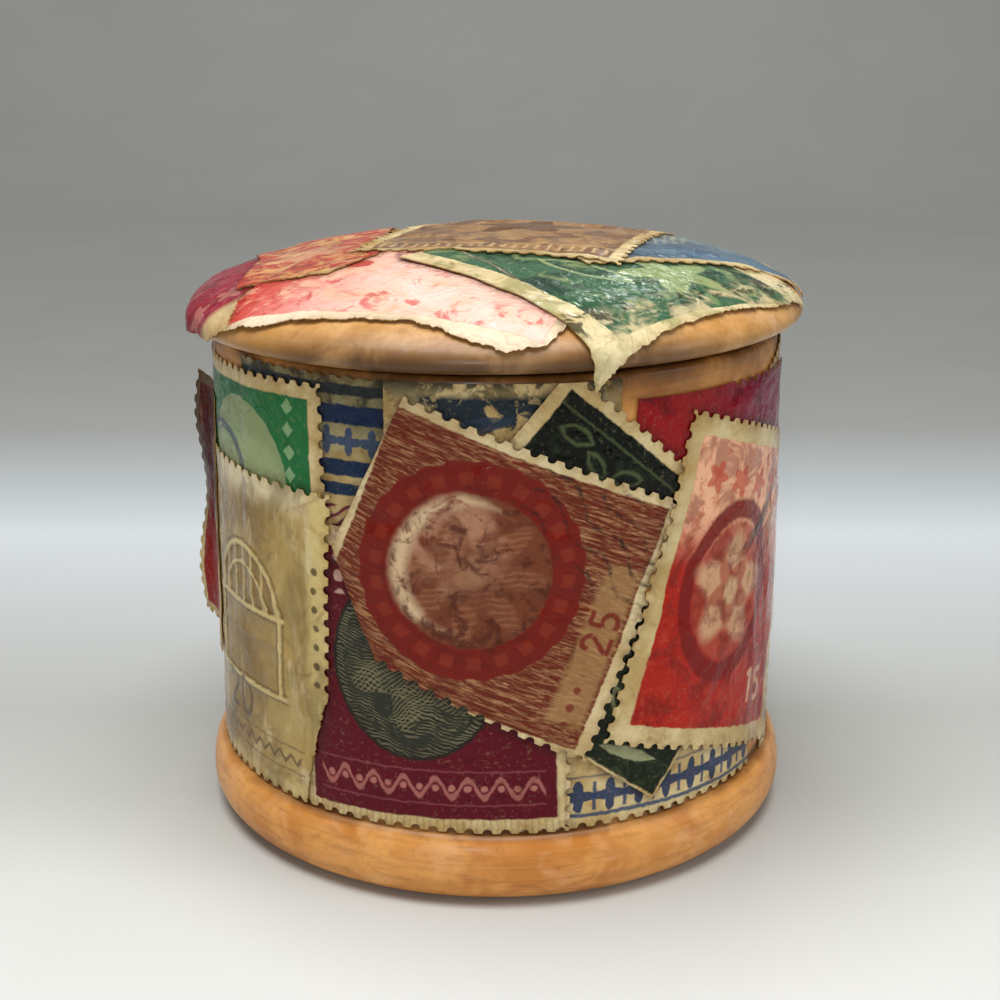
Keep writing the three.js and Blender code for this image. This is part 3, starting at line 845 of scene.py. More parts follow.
def both(one, other):
    return one.math("MAXIMUM", other)


def either(one, other):
    return one.math("MINIMUM", other)


def repeated(plane, pitch):
    """The plane with its across repeated at a pitch, for a row of one motif."""
    across = plane.part(0).math("WRAP", pitch / 2, -pitch / 2)
    return plane.tree.node("ShaderNodeCombineXYZ", {}, [across, plane.part(1), 0.0])


def wall_relief(points):
    return ripples(points, 5, 5, 0.07)


EDGE = edge_tree()
wall_size = ((-WALL_ROUND / 2, 0), (WALL_ROUND / 2, STACK_HIGH))
WALL = Ground("stamp_", "cup", *wall_size, (DEGREE, 1), on_wall, wall_relief, joins=True)

stamp = Stamp(WALL, "cream_bordered", (22, 18.5), (33, 14.3), -1.5)
frieze = repeated(stamp.at(0.6, -6.2), 2.5)
stamp.lay(petals(frieze, 0.95, 4, 0.38), "1c3660", 0.95)
bars = repeated(stamp.at(1.85, -6.2), 2.5)
stamp.lay(block(bars, 0.3, 2.3), "22406b", 0.9)
stamp.lay(abs(stamp.at(0, -7.7).part(1)) - 0.16, "2c4a70", 0.9)
stamp.lay(abs(stamp.at(0, -4.6).part(1)) - 0.1, "2c4a70", 0.6)
corners = [(4.5, 5.85, "p"), (61, 5.75, "c"), (61, 23, "c"), (4.5, 23, "c")]
stamp.paste("paper_cream", corners)

# The nine stamps round the back, which the photograph doesn't show. They are guessed, of the same gummed
# paper, formats and colours, with four designs among them: a boat, a sprig, two peaks and a rosette.


def figure(stamp, code, x, y, tall, turn=0.0):
    """One plain figure, 0, 1, 2, 5 or 8, as a union of bars and rings."""
    stroke = tall * 0.15
    angle = math.radians(turn)

    def part(across, up, more=0.0, wide=1.0):
        spot = (across * tall, up * tall)
        x_here = x + spot[0] * math.cos(angle) - spot[1] * math.sin(angle)
        y_here = y + spot[0] * math.sin(angle) + spot[1] * math.cos(angle)
        return stamp.at(x_here, y_here, turn + more, wide)

    if code == "0":
        return ring(part(0, 0, wide=0.56), tall * 0.45, stroke)
    if code == "1":
        return either(block(part(0, 0), stroke, tall), block(part(-0.1, 0.38, 40), tall * 0.3, stroke))
    if code == "5":
        plane = part(-0.02, -0.18)
        bowl = both(ring(plane, tall * 0.25, stroke), -plane.part(0) - tall * 0.16)
        top = block(part(0.02, 0.43), tall * 0.42, stroke)
        return either(bowl, either(top, block(part(-0.16, 0.24), stroke, tall * 0.42)))
    if code == "8":
        return either(ring(part(0, 0.23), tall * 0.19, stroke), ring(part(0, -0.21), tall * 0.24, stroke))
    plane = part(0, 0.22)
    top = both(ring(plane, tall * 0.21, stroke), -plane.part(1) - tall * 0.02)
    foot = block(part(0, -0.43), tall * 0.5, stroke)
    return either(top, either(foot, block(part(0, -0.1, 52), tall * 0.66, stroke)))


def numeral(stamp, figures, x, y, tall, turn=0.0):
    """A number of one or two figures."""
    shapes = []
    for i, code in enumerate(figures):
        step = (i - (len(figures) - 1) / 2) * tall * 0.72
        across, up = step * math.cos(math.radians(turn)), step * math.sin(math.radians(turn))
        shapes.append(figure(stamp, code, x + across, y + up, tall, turn))
    return shapes[0] if len(shapes) == 1 else either(*shapes)


def boat(stamp, panel, deep, light):
    stamp.lay(both(panel, -stamp.plane.part(1) - 4), light, 0.75, 0.5)
    stamp.wash(panel.ramp(0.1, -0.1) * stamp.hatch(0, 1.1) * stamp.plane.part(1).ramp(-2, -4) * 0.8, light)
    hull = both(leaf(stamp.at(0, -2.2), 10, 3.4), stamp.at(0, -2.6).part(1))
    fore, aft = stamp.at(0.4, -2), stamp.at(-0.3, -2)
    sail = both(-fore.part(0), both(-fore.part(1), fore.part(0) * 1.7 + fore.part(1) - 8.5))
    jib = both(aft.part(0), both(-aft.part(1), aft.part(0) * -1.9 + aft.part(1) - 6.5))
    stamp.lay(both(either(hull, either(sail, jib)), panel), deep)


def sprig(stamp, panel, deep, light):
    stem = stamp.at(0, 0)
    total = both(abs(stem.part(0) - (stem.part(1) * 0.45).math("SINE") * 0.7) - 0.14, abs(stem.part(1)) - 8)
    for i in range(4):
        up = -4.6 + i * 2.5
        for side in (-1, 1):
            total = either(total, leaf(stamp.at(side * 2.0, up, side * (38 + 6 * i)), 4.2, 1.5))
    stamp.lay(both(total, panel + 0.5), light)
    stamp.lay(petals(stamp.at(0.4, 6.2), 1.9, 5, 0.3), light)
    stamp.lay(disc(stamp.at(0.4, 6.2), 0.6), deep)


def peaks(stamp, panel, deep, light):
    stamp.lay(both(disc(stamp.at(3.4, 3.8), 2.4), panel), light, 0.9)
    for x, y, high in ((-2.4, -3.5, 7.5), (4.2, -4.5, 5)):
        plane = stamp.at(x, y)
        slope = abs(plane.part(0)) * 1.15 + plane.part(1) - high
        stamp.lay(both(slope, panel), deep)
        zigzag = plane.part(0).math("PINGPONG", 0.8) - plane.part(1) + high * 0.62
        stamp.lay(both(both(slope + 0.3, zigzag), panel), light, 0.9)


def rosette(stamp, panel, deep, light):
    middle = stamp.at(0, 0.8)
    stamp.lay(both(petals(middle, 5.4, 14, 0.1), panel), light)
    stamp.lay(ring(middle, 4.1, 0.3), deep)
    stamp.lay(both(ring(middle, 4.7, 0.5), petals(middle, 4.6, 28, 0.5)), deep, 0.8)
    stamp.lay(numeral(stamp, "80", 0, 0.8, 3.4), deep)
    dots = disc(repeated(stamp.at(0, -stamp.tall / 2 + 3.2), 1.6), 0.4)
    stamp.lay(both(dots, panel + 0.6), light, 0.9)


def plain_print(stamp, design, ground_tone, deep, light):
    """A panel with a fine line round it, uneven ink, and one of the four designs."""
    panel = stamp.panel(ground_tone)
    stamp.lay(abs(panel + 0.7) - 0.1, light, 0.8)
    design(stamp, panel + 1.1, deep, light)
    inked = panel.ramp(0.1, -0.1)
    stamp.wash(inked * stamp.hatch(35, 0.6) * 0.18, deep)
    stamp.wash(inked * stamp.blotch(0.5, 0.5, 0.75) * 0.35, deep)


formats = {"upright": (21.5, 25.5), "across": (25.5, 21.5), "slim": (19, 23.5)}
back = [
    ("slate", "across", 100.3, 16.57, 2, "rb", "paper_grey_blue", boat, "5b6b7c", "2d3b4c", "c2bd98"),
    ("lilac", "across", 172, 16.25, -2, "rb", "paper_violet", rosette, "5b3f62", "3a2440", "cdb89c"),
    ("rust", "across", 243.4, 16.25, 2, "rl", "paper_red_brown", peaks, "96482a", "5e2415", "dcb98a"),
    ("ochre", "upright", 113.2, 25.43, -3, "tr", "paper_orange", sprig, "b98236", "7c4a16", "e6cd92"),
    ("leaf", "upright", 175.4, 25.43, 3, "tl", "paper_green", peaks, "3d7a45", "1d4a2a", "c5c98f"),
    ("sky", "upright", 237, 25.76, -2, "tl", "paper_blue", boat, "4f7690", "24435f", "cfd0ac"),
    ("carmine", "slim", 78.7, 27.2, 13, "trb", "paper_crimson", rosette, "8e2337", "5a1020", "dcae8e"),
    ("navy", "upright", 141, 20.51, -16, "trbl", "paper_blue", sprig, "24365a", "14203a", "b9b591"),
    ("brick", "slim", 208.6, 20.51, 19, "trbl", "paper_red", boat, "a5402a", "6a2014", "e0bd8e"),
]
for name, size, across, up, turned, sides, slot, design, *tones in back:
    stamp = Stamp(WALL, "back_" + name, formats[size], (across, up), turned)
    plain_print(stamp, design, *tones)
    if design in (rosette, peaks):
        stamp.cancel(-4, 5, 20 + across)
    stamp.paste(slot, sides)

# Three more of the lowest stamps, along the top of the front: one ruled in blue, a sketch in grey, and a
# plain maroon one. They were pasted straight on the wood, and later ones cover most of them.
stamp = Stamp(WALL, "blue_ruled", (15, 19), (-36.5, 30.6), 0)
stamp.wash(stamp.plane.part(1).ramp(-2, 8) * 0.8, "5c5a3c")
stamp.wash(stamp.blotch(0.5, 0.42, 0.6) * stamp.plane.part(1).ramp(4, 8) * 0.9, "2c2a1e")
rules = [(6.5, 1.4, "0d2344"), (2.6, 1.2, "12294c"), (1.0, 0.9, "16304f"), (8.3, 0.8, "20282c")]
for up, tall, colour in rules:
    stamp.lay(abs(stamp.at(0, up).part(1)) - tall / 2, colour)
stamp.lay(petals(repeated(stamp.at(0, 4.55), 1.9), 0.78, 4, 0.35), "213f66", 0.9)
stamp.lay(stamp.plane.part(1) + 0.2, "6c1836", stamp.hatch(30, 0.8))
stamp.paste("paper_blue", "t")

stamp = Stamp(WALL, "grey_sketch", (17, 19), (1.5, 34.6), 0)
stamp.wash(stamp.plane.part(1).ramp(3, 5.5) * stamp.blotch(0.5, 0.36, 0.5) * 0.95, "2c2a1e")
stamp.lay(block(stamp.at(0.5, 3.2), 13, 2.4), "1f2c38", stamp.blotch(0.6, 0.4, 0.5), 0.3)
stamp.lay(leaf(stamp.at(-2.0, 2.2, 12), 6, 1.2), "2a3c54", 0.85)
stamp.lay(leaf(stamp.at(3.5, 2.8, -8), 5, 0.9), "33424e", 0.85)
stamp.lay(disc(repeated(stamp.at(0, 1.0), 1.3), 0.25), "33424e", 0.8)
stamp.paste("paper_grey_blue", "t")

stamp = Stamp(WALL, "maroon_plain", (22, 18.5), (52, 34.8), 1)
stamp.panel("9a1218", 0.4)
stamp.wash(stamp.plane.part(0).ramp(-6, 5) * 0.9, "78143c")
stamp.wash(stamp.hatch(88, 1.6, 0.4, 2) * stamp.plane.part(0).ramp(-2, 8) * 0.25, "94406a")
stamp.wash(stamp.blotch(0.45, 0.5, 0.7) * 0.6, "3c0a10")
corners = [(24.5, 26, "c"), (79.5, 26, "c"), (79.5, 37.8, "p"), (50, 38.2, "c"), (26, 38.3, "c")]
stamp.paste("paper_maroon", corners)

# The stamps round the front that lie over those: an emerald one at the left, a maroon one with a dark oval
# low in the middle, and two scraps of dark green ones. All are gummed paper, pasted flat.
stamp = Stamp(WALL, "green_arc", (21.5, 25.5), (-58.7, 26.1), 1.5)
panel = stamp.panel("1f6e3a", 1.25)
stamp.wash(panel.ramp(0.1, -0.1) * stamp.blotch(0.5, 0.45, 0.7) * 0.4, "164a2c")
stamp.lay(disc(stamp.at(0.7, 4.2), 6.3), "8c9c6e", 0.95)
stamp.lay(disc(stamp.at(2.4, 3.4), 4.4), "a2ae7e", 0.6, 0.6)
stamp.lay(ring(stamp.at(-3.4, 2.6), 5.2, 0.5), "34485a", 0.85, 0.14)
stamp.lay(ring(stamp.at(-2.9, 3.6), 3.8, 0.22), "34485a", 0.7)
chain = repeated(stamp.at(7.4, 9.0, 90), 1.7)
stamp.lay(both(block(stamp.at(7.4, 8), 3, 7), abs(chain.part(0)) + abs(chain.part(1)) - 0.6), "86ab7c", 0.9)
stamp.paste("paper_green", "tr", age=0.3)

stamp = Stamp(WALL, "maroon_oval", (22, 23.5), (-13, 17.07), 1.2)
stamp.panel("5c0018", 1.45)
stamp.wash(stamp.plane.part(1).ramp(-4, -9) * stamp.hatch(90, 0.5, 0.3, 0.3) * 0.25, "4a0d22")
oval = stamp.at(-0.8, 1.6, 0, 1.0, 1.14)
stamp.lay(disc(oval, 6.4), "221f1a", 1.0, 0.12)
lines = stamp.hatch(-14, 0.28, 0.5, 1.2) * stamp.broad.ramp(0.3, 0.6, 0.25, 1.0)
stamp.lay(disc(oval, 6.15), "7e7c60", lines * 0.75, 0.1)
stamp.lay(disc(oval, 5.6), "2e3128", stamp.blotch(0.5, 0.42, 0.6))
blossom = both(petals(stamp.at(-0.8, 1.6, 20), 4.0, 6, 0.3), disc(oval, 5.6))
stamp.lay(blossom, "8a8462", stamp.hatch(40, 0.3) * 0.5)
scroll = stamp.at(0, -7.8)
running = abs(scroll.part(1) - (scroll.part(0) * 2.6).math("SINE") * 0.72) - 0.25
stamp.lay(both(running, block(scroll, 17.4, 2.8)), "b4706a", 0.75, 0.12)
stamp.lay(both(disc(repeated(stamp.at(0.6, -7.8), 1.208), 0.27), block(scroll, 17.4, 2.8)), "bc7a70", 0.8)
stamp.lay(both(abs(abs(scroll.part(1)) - 1.35) - 0.06, abs(scroll.part(0)) - 8.8), "a8606a", 0.4)
beads = disc(repeated(stamp.at(-6.4, 9.6, 90), 1.5), 0.45)
stamp.lay(both(beads, block(stamp.at(-6.4, 9.2), 2.4, 5)), "d8b4a4", 0.85)
corners = [(-40, 5.8, "p"), (13.6, 5.72, "p"), (14.2, 28.5, "c"), (-40, 28.8, "c")]
stamp.paste("paper_maroon", corners, gloss=0.22, age=0.25)

stamp = Stamp(WALL, "green_upper", (14.5, 11), (18.1, 32), -40)
panel = stamp.panel("060d05", 1.0)
inked = panel.ramp(0.1, -0.1)
stamp.wash(inked * stamp.blotch(0.6, 0.5, 0.68) * 0.6, "283a20")
leaves = [(-3.8, 2.2, 10, 2.6), (-1.2, 1.4, -20, 2.2), (1.4, 1.9, 30, 2.4), (4.0, 0.6, 22, 3.2)]
for x, y, turned, long in leaves:
    stamp.lay(both(abs(leaf(stamp.at(x, y, turned), long, long * 0.45)) - 0.12, panel), "64744e", 0.6, 0.14)
stamp.lay(both(abs(stamp.at(0, 3.4).part(1)) - 0.1, panel), "64744e", 0.4)
stamp.paste("paper_dark_green", "trb")

stamp = Stamp(WALL, "green_lower", (11, 12), (28.9, 15.2), -38)
stamp.panel("14200e", 0.2)
stamp.wash(stamp.blotch(0.6, 0.5, 0.68) * 0.5, "45562f")
stamp.lay(leaf(stamp.at(1.2, -4.0, 14), 5.2, 1.0), "a5ab84", 0.8)
frond = abs(leaf(stamp.at(-1.4, -1.4, -30), 3.6, 1.5)) - 0.16
stamp.lay(both(frond, stamp.plane.part(0) - 5), "98a27c", 0.8)
stamp.lay(ring(stamp.at(2.8, -1.0), 1.0, 0.35), "98a27c", 0.8)
stamp.paste("paper_dark_green", "")

# The last stamps on the wall: the rust one with the medallion and a corner cut off, the olive one with an
# arcade pressed up in it, the dark red one that has sprung off the wall at the left, and the red one.
stamp = Stamp(WALL, "brown_medallion", (22.5, 21), (-0.2, 25.1), -22.6)
panel = block(stamp.at(-0.5, 0), 21.6, 19)
stamp.lay(panel, "a67a56")
inked = panel.ramp(0.1, -0.1)
stamp.wash((1 - inked) * 0.2, "f4e8c8")
stamp.wash(inked * stamp.blotch(0.9, 0.36, 0.54, (0.6, 5.2, 1)) * 0.95, "6a1e0c")
stamp.wash(inked * stamp.hatch(6, 0.5, 0.4, 2) * 0.5, "5a1e0c")
stamp.wash(inked * stamp.blotch(1.4, 0.55, 0.68, (0.4, 3, 1)) * 0.6, "c09468")
band = stamp.at(-2.0, 0.4)
stamp.lay(petals(band, 8.2, 24, 0.012), "761a10")
stamp.wash(disc(band, 8.1).ramp(0.1, -0.1) * stamp.blotch(0.5, 0.45, 0.7) * 0.5, "5a180e")
stamp.lay(both(ring(band, 6.95, 0.9), petals(band, 6.9, 22, 0.5)), "9c4028", 0.35, 0.2)
stamp.lay(disc(band, 5.8), "763f27", 1.0, 0.12)
pale = both(disc(stamp.at(-3.6, 1.6), 3.6), disc(band, 5.7))
stamp.lay(pale, "b6886e", stamp.blotch(0.4, 0.35, 0.6) * 0.9, 0.8)
stamp.lay(petals(stamp.at(-2.0, 0.4, 15), 4.1, 8, 0.34), "a87454", stamp.hatch(25, 0.5) * 0.3 + 0.15, 0.5)
stamp.lay(petals(stamp.at(-2.0, 0.4, 37), 2.9, 8, 0.3), "6c3824", 0.45, 0.4)
stamp.lay(disc(band, 1.1), "a87e5c", 0.5, 0.4)
moon = both(disc(stamp.at(-3.4, 0.5), 5.1), -disc(stamp.at(-1.5, 0.5), 5.1))
stamp.lay(both(moon, disc(band, 5.7)), "d8bc98", stamp.blotch(0.5, 0.3, 0.5), 0.5)
stamp.wash(disc(band, 5.8).ramp(0.1, -0.1) * stamp.blotch(0.7, 0.48, 0.64) * 0.75, "4c1e12")
stamp.lay(block(stamp.at(8.6, -1.8), 2.8, 12.5), "b08c5c", 0.6, 0.3)
stamp.lay(numeral(stamp, "25", 8.6, -0.6, 2.5, 90), "7c3020")
dots = disc(repeated(stamp.at(8.6, -6.6, 90), 1.4), 0.32)
stamp.lay(both(dots, block(stamp.at(8.6, -6), 2, 4)), "7c3020", 0.9)
stamp.cancel(6, 6.5, -30, 0.75)
corners = [(-22.2, 18.9, "p"), (16.5, 11.2, "p"), (35.7, 30.3, "p"), (-15.9, 38.9, "c"), (-30.6, 27.3, "c")]
stamp.paste("paper_red_brown", corners, gloss=0.25, age=0.25)

ARCH_FOOT = 1.6
ARCH_RADIUS = 4.9
INNER_ARCH = 3.4
ARCH_LEG = 6.4


def arcade_relief(points):
    """The arch on two legs that is pressed up in the olive stamp."""
    x, y = points[:, 0] - 0.2, points[:, 1] - ARCH_FOOT
    radius = np.hypot(x, y)
    high, low = y > 0, (y <= 0) & (y > -ARCH_LEG)

    def ridge(away, where, wide=0.22):
        return np.exp(-((away / wide) ** 2)) * where

    total = ridge(radius - ARCH_RADIUS, high) + ridge(radius - INNER_ARCH, high)
    total += ridge(np.abs(x) - ARCH_RADIUS, low)
    total += ridge(y, np.abs(x) < 5.2) + ridge(y + ARCH_LEG, np.abs(x) < 5.6) + ridge(y + 2.2, np.abs(x) < 5)
    total += 0.6 * ridge(np.mod(x + 0.75, 1.5) - 0.75, high & (radius < ARCH_RADIUS))
    return 0.15 * np.clip(total, 0, 1)


stamp = Stamp(WALL, "olive_arcade", (21.5, 25.5), (-57.6, 18.48), 0)
tint = stamp.plane.part(0).ramp(-9, 9)
stamp.lay(block(stamp.plane, 19.4, 23.4), "a08450", 0.85, 0.5)
stamp.wash(stamp.blotch(0.35, 0.42, 0.65) * (1 - tint) * 0.7, "7c6338")
stamp.wash(tint.ramp(0.5, 1.0) * 0.55, "c4ad6e")
stamp.wash(stamp.plane.part(1).ramp(9.6, 12.0) * 0.85, "f0e6c4")
stamp.wash(stamp.plane.part(0).ramp(8.0, 9.2) * stamp.broad.ramp(0.3, 0.6, 0.4, 0.9), "dccb8c")
stamp.wash(stamp.blotch(0.2, 0.48, 0.64, (1.2, 0.6, 1)) * 0.5, "66522c")
# Pale upright streaks: a painted sheen of the varnish.
stamp.wash(stamp.blotch(0.3, 0.54, 0.7, (1.4, 0.5, 1)) * 0.5, "e8dcb6")
arch = stamp.at(0.2, ARCH_FOOT)
below, lead = arch.part(1), abs(arch.part(0))
hoop, leg = abs(disc(arch, ARCH_RADIUS)), abs(lead - ARCH_RADIUS)
legs = both(below, -below - ARCH_LEG)
stamp.lay(both(disc(arch, ARCH_RADIUS), -below), "8a7145", 0.7, 0.4)
stamp.lay(both(both(lead - ARCH_RADIUS, legs), lead * -1 + 0.5), "957c4e", 0.5, 0.4)
for away, colour, cover in ((0.42, "614b29", 0.75), (0.2, "dcc991", 0.9)):
    stamp.lay(either(both(hoop - away, -below), both(leg - away, legs)), colour, cover, 0.16)
    stamp.lay(both(abs(disc(arch, INNER_ARCH)) - away * 0.7, -below), colour, cover, 0.14)
    stamp.lay(both(abs(below) - away, lead - 5.4), colour, cover, 0.14)
    stamp.lay(both(abs(below + ARCH_LEG) - away, lead - 5.6), colour, cover, 0.14)
spokes = both(both(disc(arch, ARCH_RADIUS), -below), abs(arch.part(0).math("PINGPONG", 0.75)) - 0.14)
stamp.lay(spokes, "dcc991", 0.7, 0.12)
stamp.lay(numeral(stamp, "20", -1.6, -6.4, 3.4), "5c4838", 0.85, 0.12)
zigzag = stamp.at(-0.4, -9.6)
wave = abs(zigzag.part(1) - zigzag.part(0).math("PINGPONG", 0.7) + 0.35) - 0.2
stamp.lay(both(wave, abs(zigzag.part(0)) - 7.6), "6a543a", 0.85)
stamp.lay(both(abs(abs(zigzag.part(1)) - 1.0) - 0.08, abs(zigzag.part(0)) - 8), "6a543a", 0.6)
dots = disc(repeated(stamp.at(9.15, 2, 90), 1.5), 0.3)
stamp.lay(both(dots, block(stamp.at(9.15, 2), 2, 11)), "4c3d1e", 0.85)
corners = [
    (-83.5, 5.9, "p"),
    (-38.6, 5.75, "t"),
    (-35.2, 12.0, "t"),
    (-32.2, 15.2, "p"),
    (-31.0, 31.0, "p"),
    (-84.0, 31.3, "c"),
]
stamp.paste("paper_olive", corners, spacing=FINE_TRIANGLE, emboss=arcade_relief, gloss=0.2, age=0.35)

FREE_LENGTH = 6.6
FREE_SWAY = 1.7
TORN_MIDDLE = -88
TORN_SIZE = (10.7, 21.5)
SPRUNG_FROM = TORN_MIDDLE * DEGREE - TORN_SIZE[0] / 2 + FREE_LENGTH


def off_wall(points, lift):
    """Paper that has sprung off: past one line it stands out along the wall's tangent, and sways outwards."""
    held = np.maximum(points[:, 0], SPRUNG_FROM)
    base = on_wall(np.stack([held, points[:, 1]], axis=1), lift)
    free = (held - points[:, 0])[:, None]
    angle = held / MEAN_RADIUS
    level = np.zeros(len(angle))
    tangent = np.stack([-np.cos(angle), -np.sin(angle), level], axis=1)
    outwards = np.stack([np.sin(angle), -np.cos(angle), level], axis=1)
    sway = FREE_SWAY * (free / FREE_LENGTH) ** 1.6 * (1 + 0.25 * np.sin(points[:, 1:] * 0.45))
    return base + tangent * free + outwards * sway


stamp = Stamp(WALL, "red_torn", TORN_SIZE, (TORN_MIDDLE, 24.2), 0)
stamp.panel("8c0c04", 0.9)
stamp.wash(stamp.plane.part(1).ramp(-7, 3) * 0.9, "301008")
stamp.wash(stamp.blotch(0.8, 0.55, 0.7, (3, 0.4, 1)) * 0.6, "8a4a1a")
stamp.paste("paper_crimson", "bl", place=off_wall, shine=0.02)

stamp = Stamp(WALL, "red_upright", (21.5, 25.5), (54.8, 21.6), -17)
panel = stamp.panel("b02010", 1.7)
inked = panel.ramp(0.1, -0.1)
stamp.wash(stamp.plane.part(1).ramp(0.8, 6.0) * inked * 0.95, "fcc4a0")
stamp.wash(inked * stamp.blotch(0.34, 0.45, 0.62) * stamp.plane.part(1).ramp(2, 7, 0.7, 0.55), "7c160e")
stamp.wash(inked * stamp.blotch(0.9, 0.52, 0.68) * 0.5, "bc4630")
oval = stamp.at(-1.7, -0.2, 0, 1.0, 1.2)
stamp.lay(ring(oval, 5.3, 1.3), "7d100c", 0.95, 0.18)
stamp.lay(disc(oval, 4.5), "b14a36", 0.8, 0.25)
stamp.lay(petals(stamp.at(-1.7, -0.2, 20), 3.7, 5, 0.24), "d8b28c", 0.8, 0.7)
stamp.lay(petals(stamp.at(-1.7, -0.2, 56), 2.2, 5, 0.25), "a8462e", 0.7, 0.25)
stamp.lay(disc(oval, 0.9), "d6b68e", 0.8, 0.2)
stamp.wash(disc(oval, 4.6).ramp(0.2, -0.2) * stamp.blotch(0.45, 0.46, 0.64) * 0.6, "7c1a10")
stamp.lay(both(petals(repeated(stamp.at(0, 8.2), 3.2), 1.0, 5, 0.3), panel + 1.0), "c2452e", 0.7)
stamp.lay(numeral(stamp, "15", 5.4, -7.8, 2.8), "e2bd98", 0.8)
stamp.cancel(3.5, 6.5, 62, 0.8)
stamp.wash(leaf(stamp.at(1.8, 5.6, 55), 6.5, 1.3).ramp(0.3, -0.3) * stamp.worn * 0.75, "38221c")
# Pale lilac streaks towards the right edge: a painted reflection of the varnish.
stamp.wash(stamp.hatch(84, 1.3, 0.3, 2) * stamp.plane.part(0).ramp(2, 9) * 0.35, "b98a92")
stamp.wash(stamp.plane.part(0).ramp(1, 9) * stamp.blotch(0.5, 0.45, 0.62) * 0.4, "6a2430")
stamp.paste("paper_red", "trbl", gloss=0.2, age=0.3)
WALL.soil_and_shade()

# The stamps on the lid, from the lowest up. The crown is nearly flat, so they lie well until the rim, where
# they crinkle. Their hems end there, cut or torn, and a few scraps hang over it.
CROWN_ANGLES = np.linspace(QUARTER, 0, 400)
CROWN_LINE = np.stack(lid_profile(CROWN_ANGLES, 0), axis=1)
CROWN_TRAVEL = np.concatenate([[0], np.cumsum(np.linalg.norm(np.diff(CROWN_LINE, axis=0), axis=1))])
WIDEST = CROWN_TRAVEL[-1]
LID_REACH = 29


def on_lid(points, lift):
    """Places by how far they lie from the top along the crown. Past the widest line, paper hangs straight."""
    travel = np.hypot(points[:, 0], points[:, 1])
    heading = points / np.maximum(travel, 1e-6)[:, None]
    radius, height = lid_profile(np.interp(travel, CROWN_TRAVEL, CROWN_ANGLES), lift)
    height = height - np.maximum(travel - WIDEST, 0)
    return np.stack([radius * heading[:, 0], radius * heading[:, 1], height], axis=1)


def lid_relief(points):
    angle = np.arctan2(points[:, 1], points[:, 0])
    crinkle = 0.5 + 0.5 * np.sin(angle * 23 + 2 * np.sin(angle * 5))
    rim = np.clip(np.hypot(points[:, 0], points[:, 1]) / WIDEST, 0, 1.05) ** 8
    return ripples(points, 8, 4.5, 0.1) + 0.13 * crinkle * rim


lid_size = ((-LID_REACH, -LID_REACH), (LID_REACH, LID_REACH))
LID = Ground("lid_stamp_", "lid", *lid_size, (1, 1), on_lid, lid_relief, LID_TILT)

stamp = Stamp(LID, "ochre", (21.5, 25.5), (-10.33, 21.16), 24)
plain_print(stamp, sprig, "b98236", "7c4a16", "e6cd92")
stamp.paste("paper_orange", "rb", hem=0.97 * WIDEST)

stamp = Stamp(LID, "pink", (25.5, 21.5), (-4.18, -10.33), -22)
stamp.wash(0.85, "e6d8c2")
panel = block(stamp.at(-1.4, 0), 27, 20.3)
stamp.lay(panel, "c9403a")
inked = panel.ramp(0.1, -0.1)
stamp.wash(stamp.plane.part(0).ramp(-14, 0) * inked * 0.95, "f9d2c6")
stamp.wash(inked * stamp.blotch(0.34, 0.5, 0.64) * 0.75, "f3bfa8")
stamp.wash(inked * stamp.blotch(0.45, 0.53, 0.66) * 0.72, "c44044")
stamp.lay(petals(stamp.at(-6.4, -0.4, 12), 3.3, 6, 0.26), "f4c3b2", 0.8, 0.25)
stamp.lay(disc(stamp.at(-6.4, -0.4), 1.1), "c23a38", 0.9, 0.2)
stamp.lay(leaf(stamp.at(-3.0, 1.9, -50), 5.5, 2.6), "6a3034", stamp.blotch(0.9, 0.35, 0.6) * 0.85, 0.3)
stamp.lay(leaf(stamp.at(7.5, -5.0, -20), 8, 4), "f6ccc2", 0.8, 0.8)
corners = [
    (-20.8, -14.6, "t"),
    (-17.6, -17.2, "t"),
    (-11.2, -19.6, "t"),
    (-6.0, -21.3, "t"),
    (-2.6, -23.6, "t"),
    (0.8, -25.1, "t"),
    (3.6, -24.4, "t"),
    (5.2, -22.0, "c"),
    (-3.5, -5.0, "c"),
    (-14.0, -3.5, "c"),
]
stamp.paste("paper_pink", corners, hem=LID_REACH, spacing=FINE_TRIANGLE, crease=0.045, curl=0.14)

stamp = Stamp(LID, "lilac", (21.5, 25.5), (10.33, 21.65), -21)
plain_print(stamp, rosette, "5b3f62", "3a2440", "cdb89c")
stamp.paste("paper_violet", "bl", hem=0.99 * WIDEST)

stamp = Stamp(LID, "crimson", (22.5, 21), (-24.35, -4.92), 12)
stamp.panel("96203a", 0.0)
stamp.wash(stamp.blotch(0.4, 0.45, 0.65) * 0.7, "6a1322")
stamp.wash(stamp.blotch(0.9, 0.55, 0.68) * 0.6, "b5606a")
stamp.lay(petals(repeated(stamp.at(0, -5), 3.2), 1.1, 5, 0.3), "c07a74", 0.7)
stamp.wash(stamp.plane.part(1).ramp(-6.8, -8.2) * 0.9, "cdb889")
corners = [
    (-25.6, 5.0, "t"),
    (-26.2, -2.0, "t"),
    (-25.4, -8.0, "t"),
    (-22.6, -13.6, "t"),
    (-20.0, -15.4, "t"),
    (-17.5, -5.0, "c"),
    (-20.0, 10.0, "c"),
]
stamp.paste("paper_crimson", corners, hem=LID_REACH, spacing=FINE_TRIANGLE, crease=0.04)

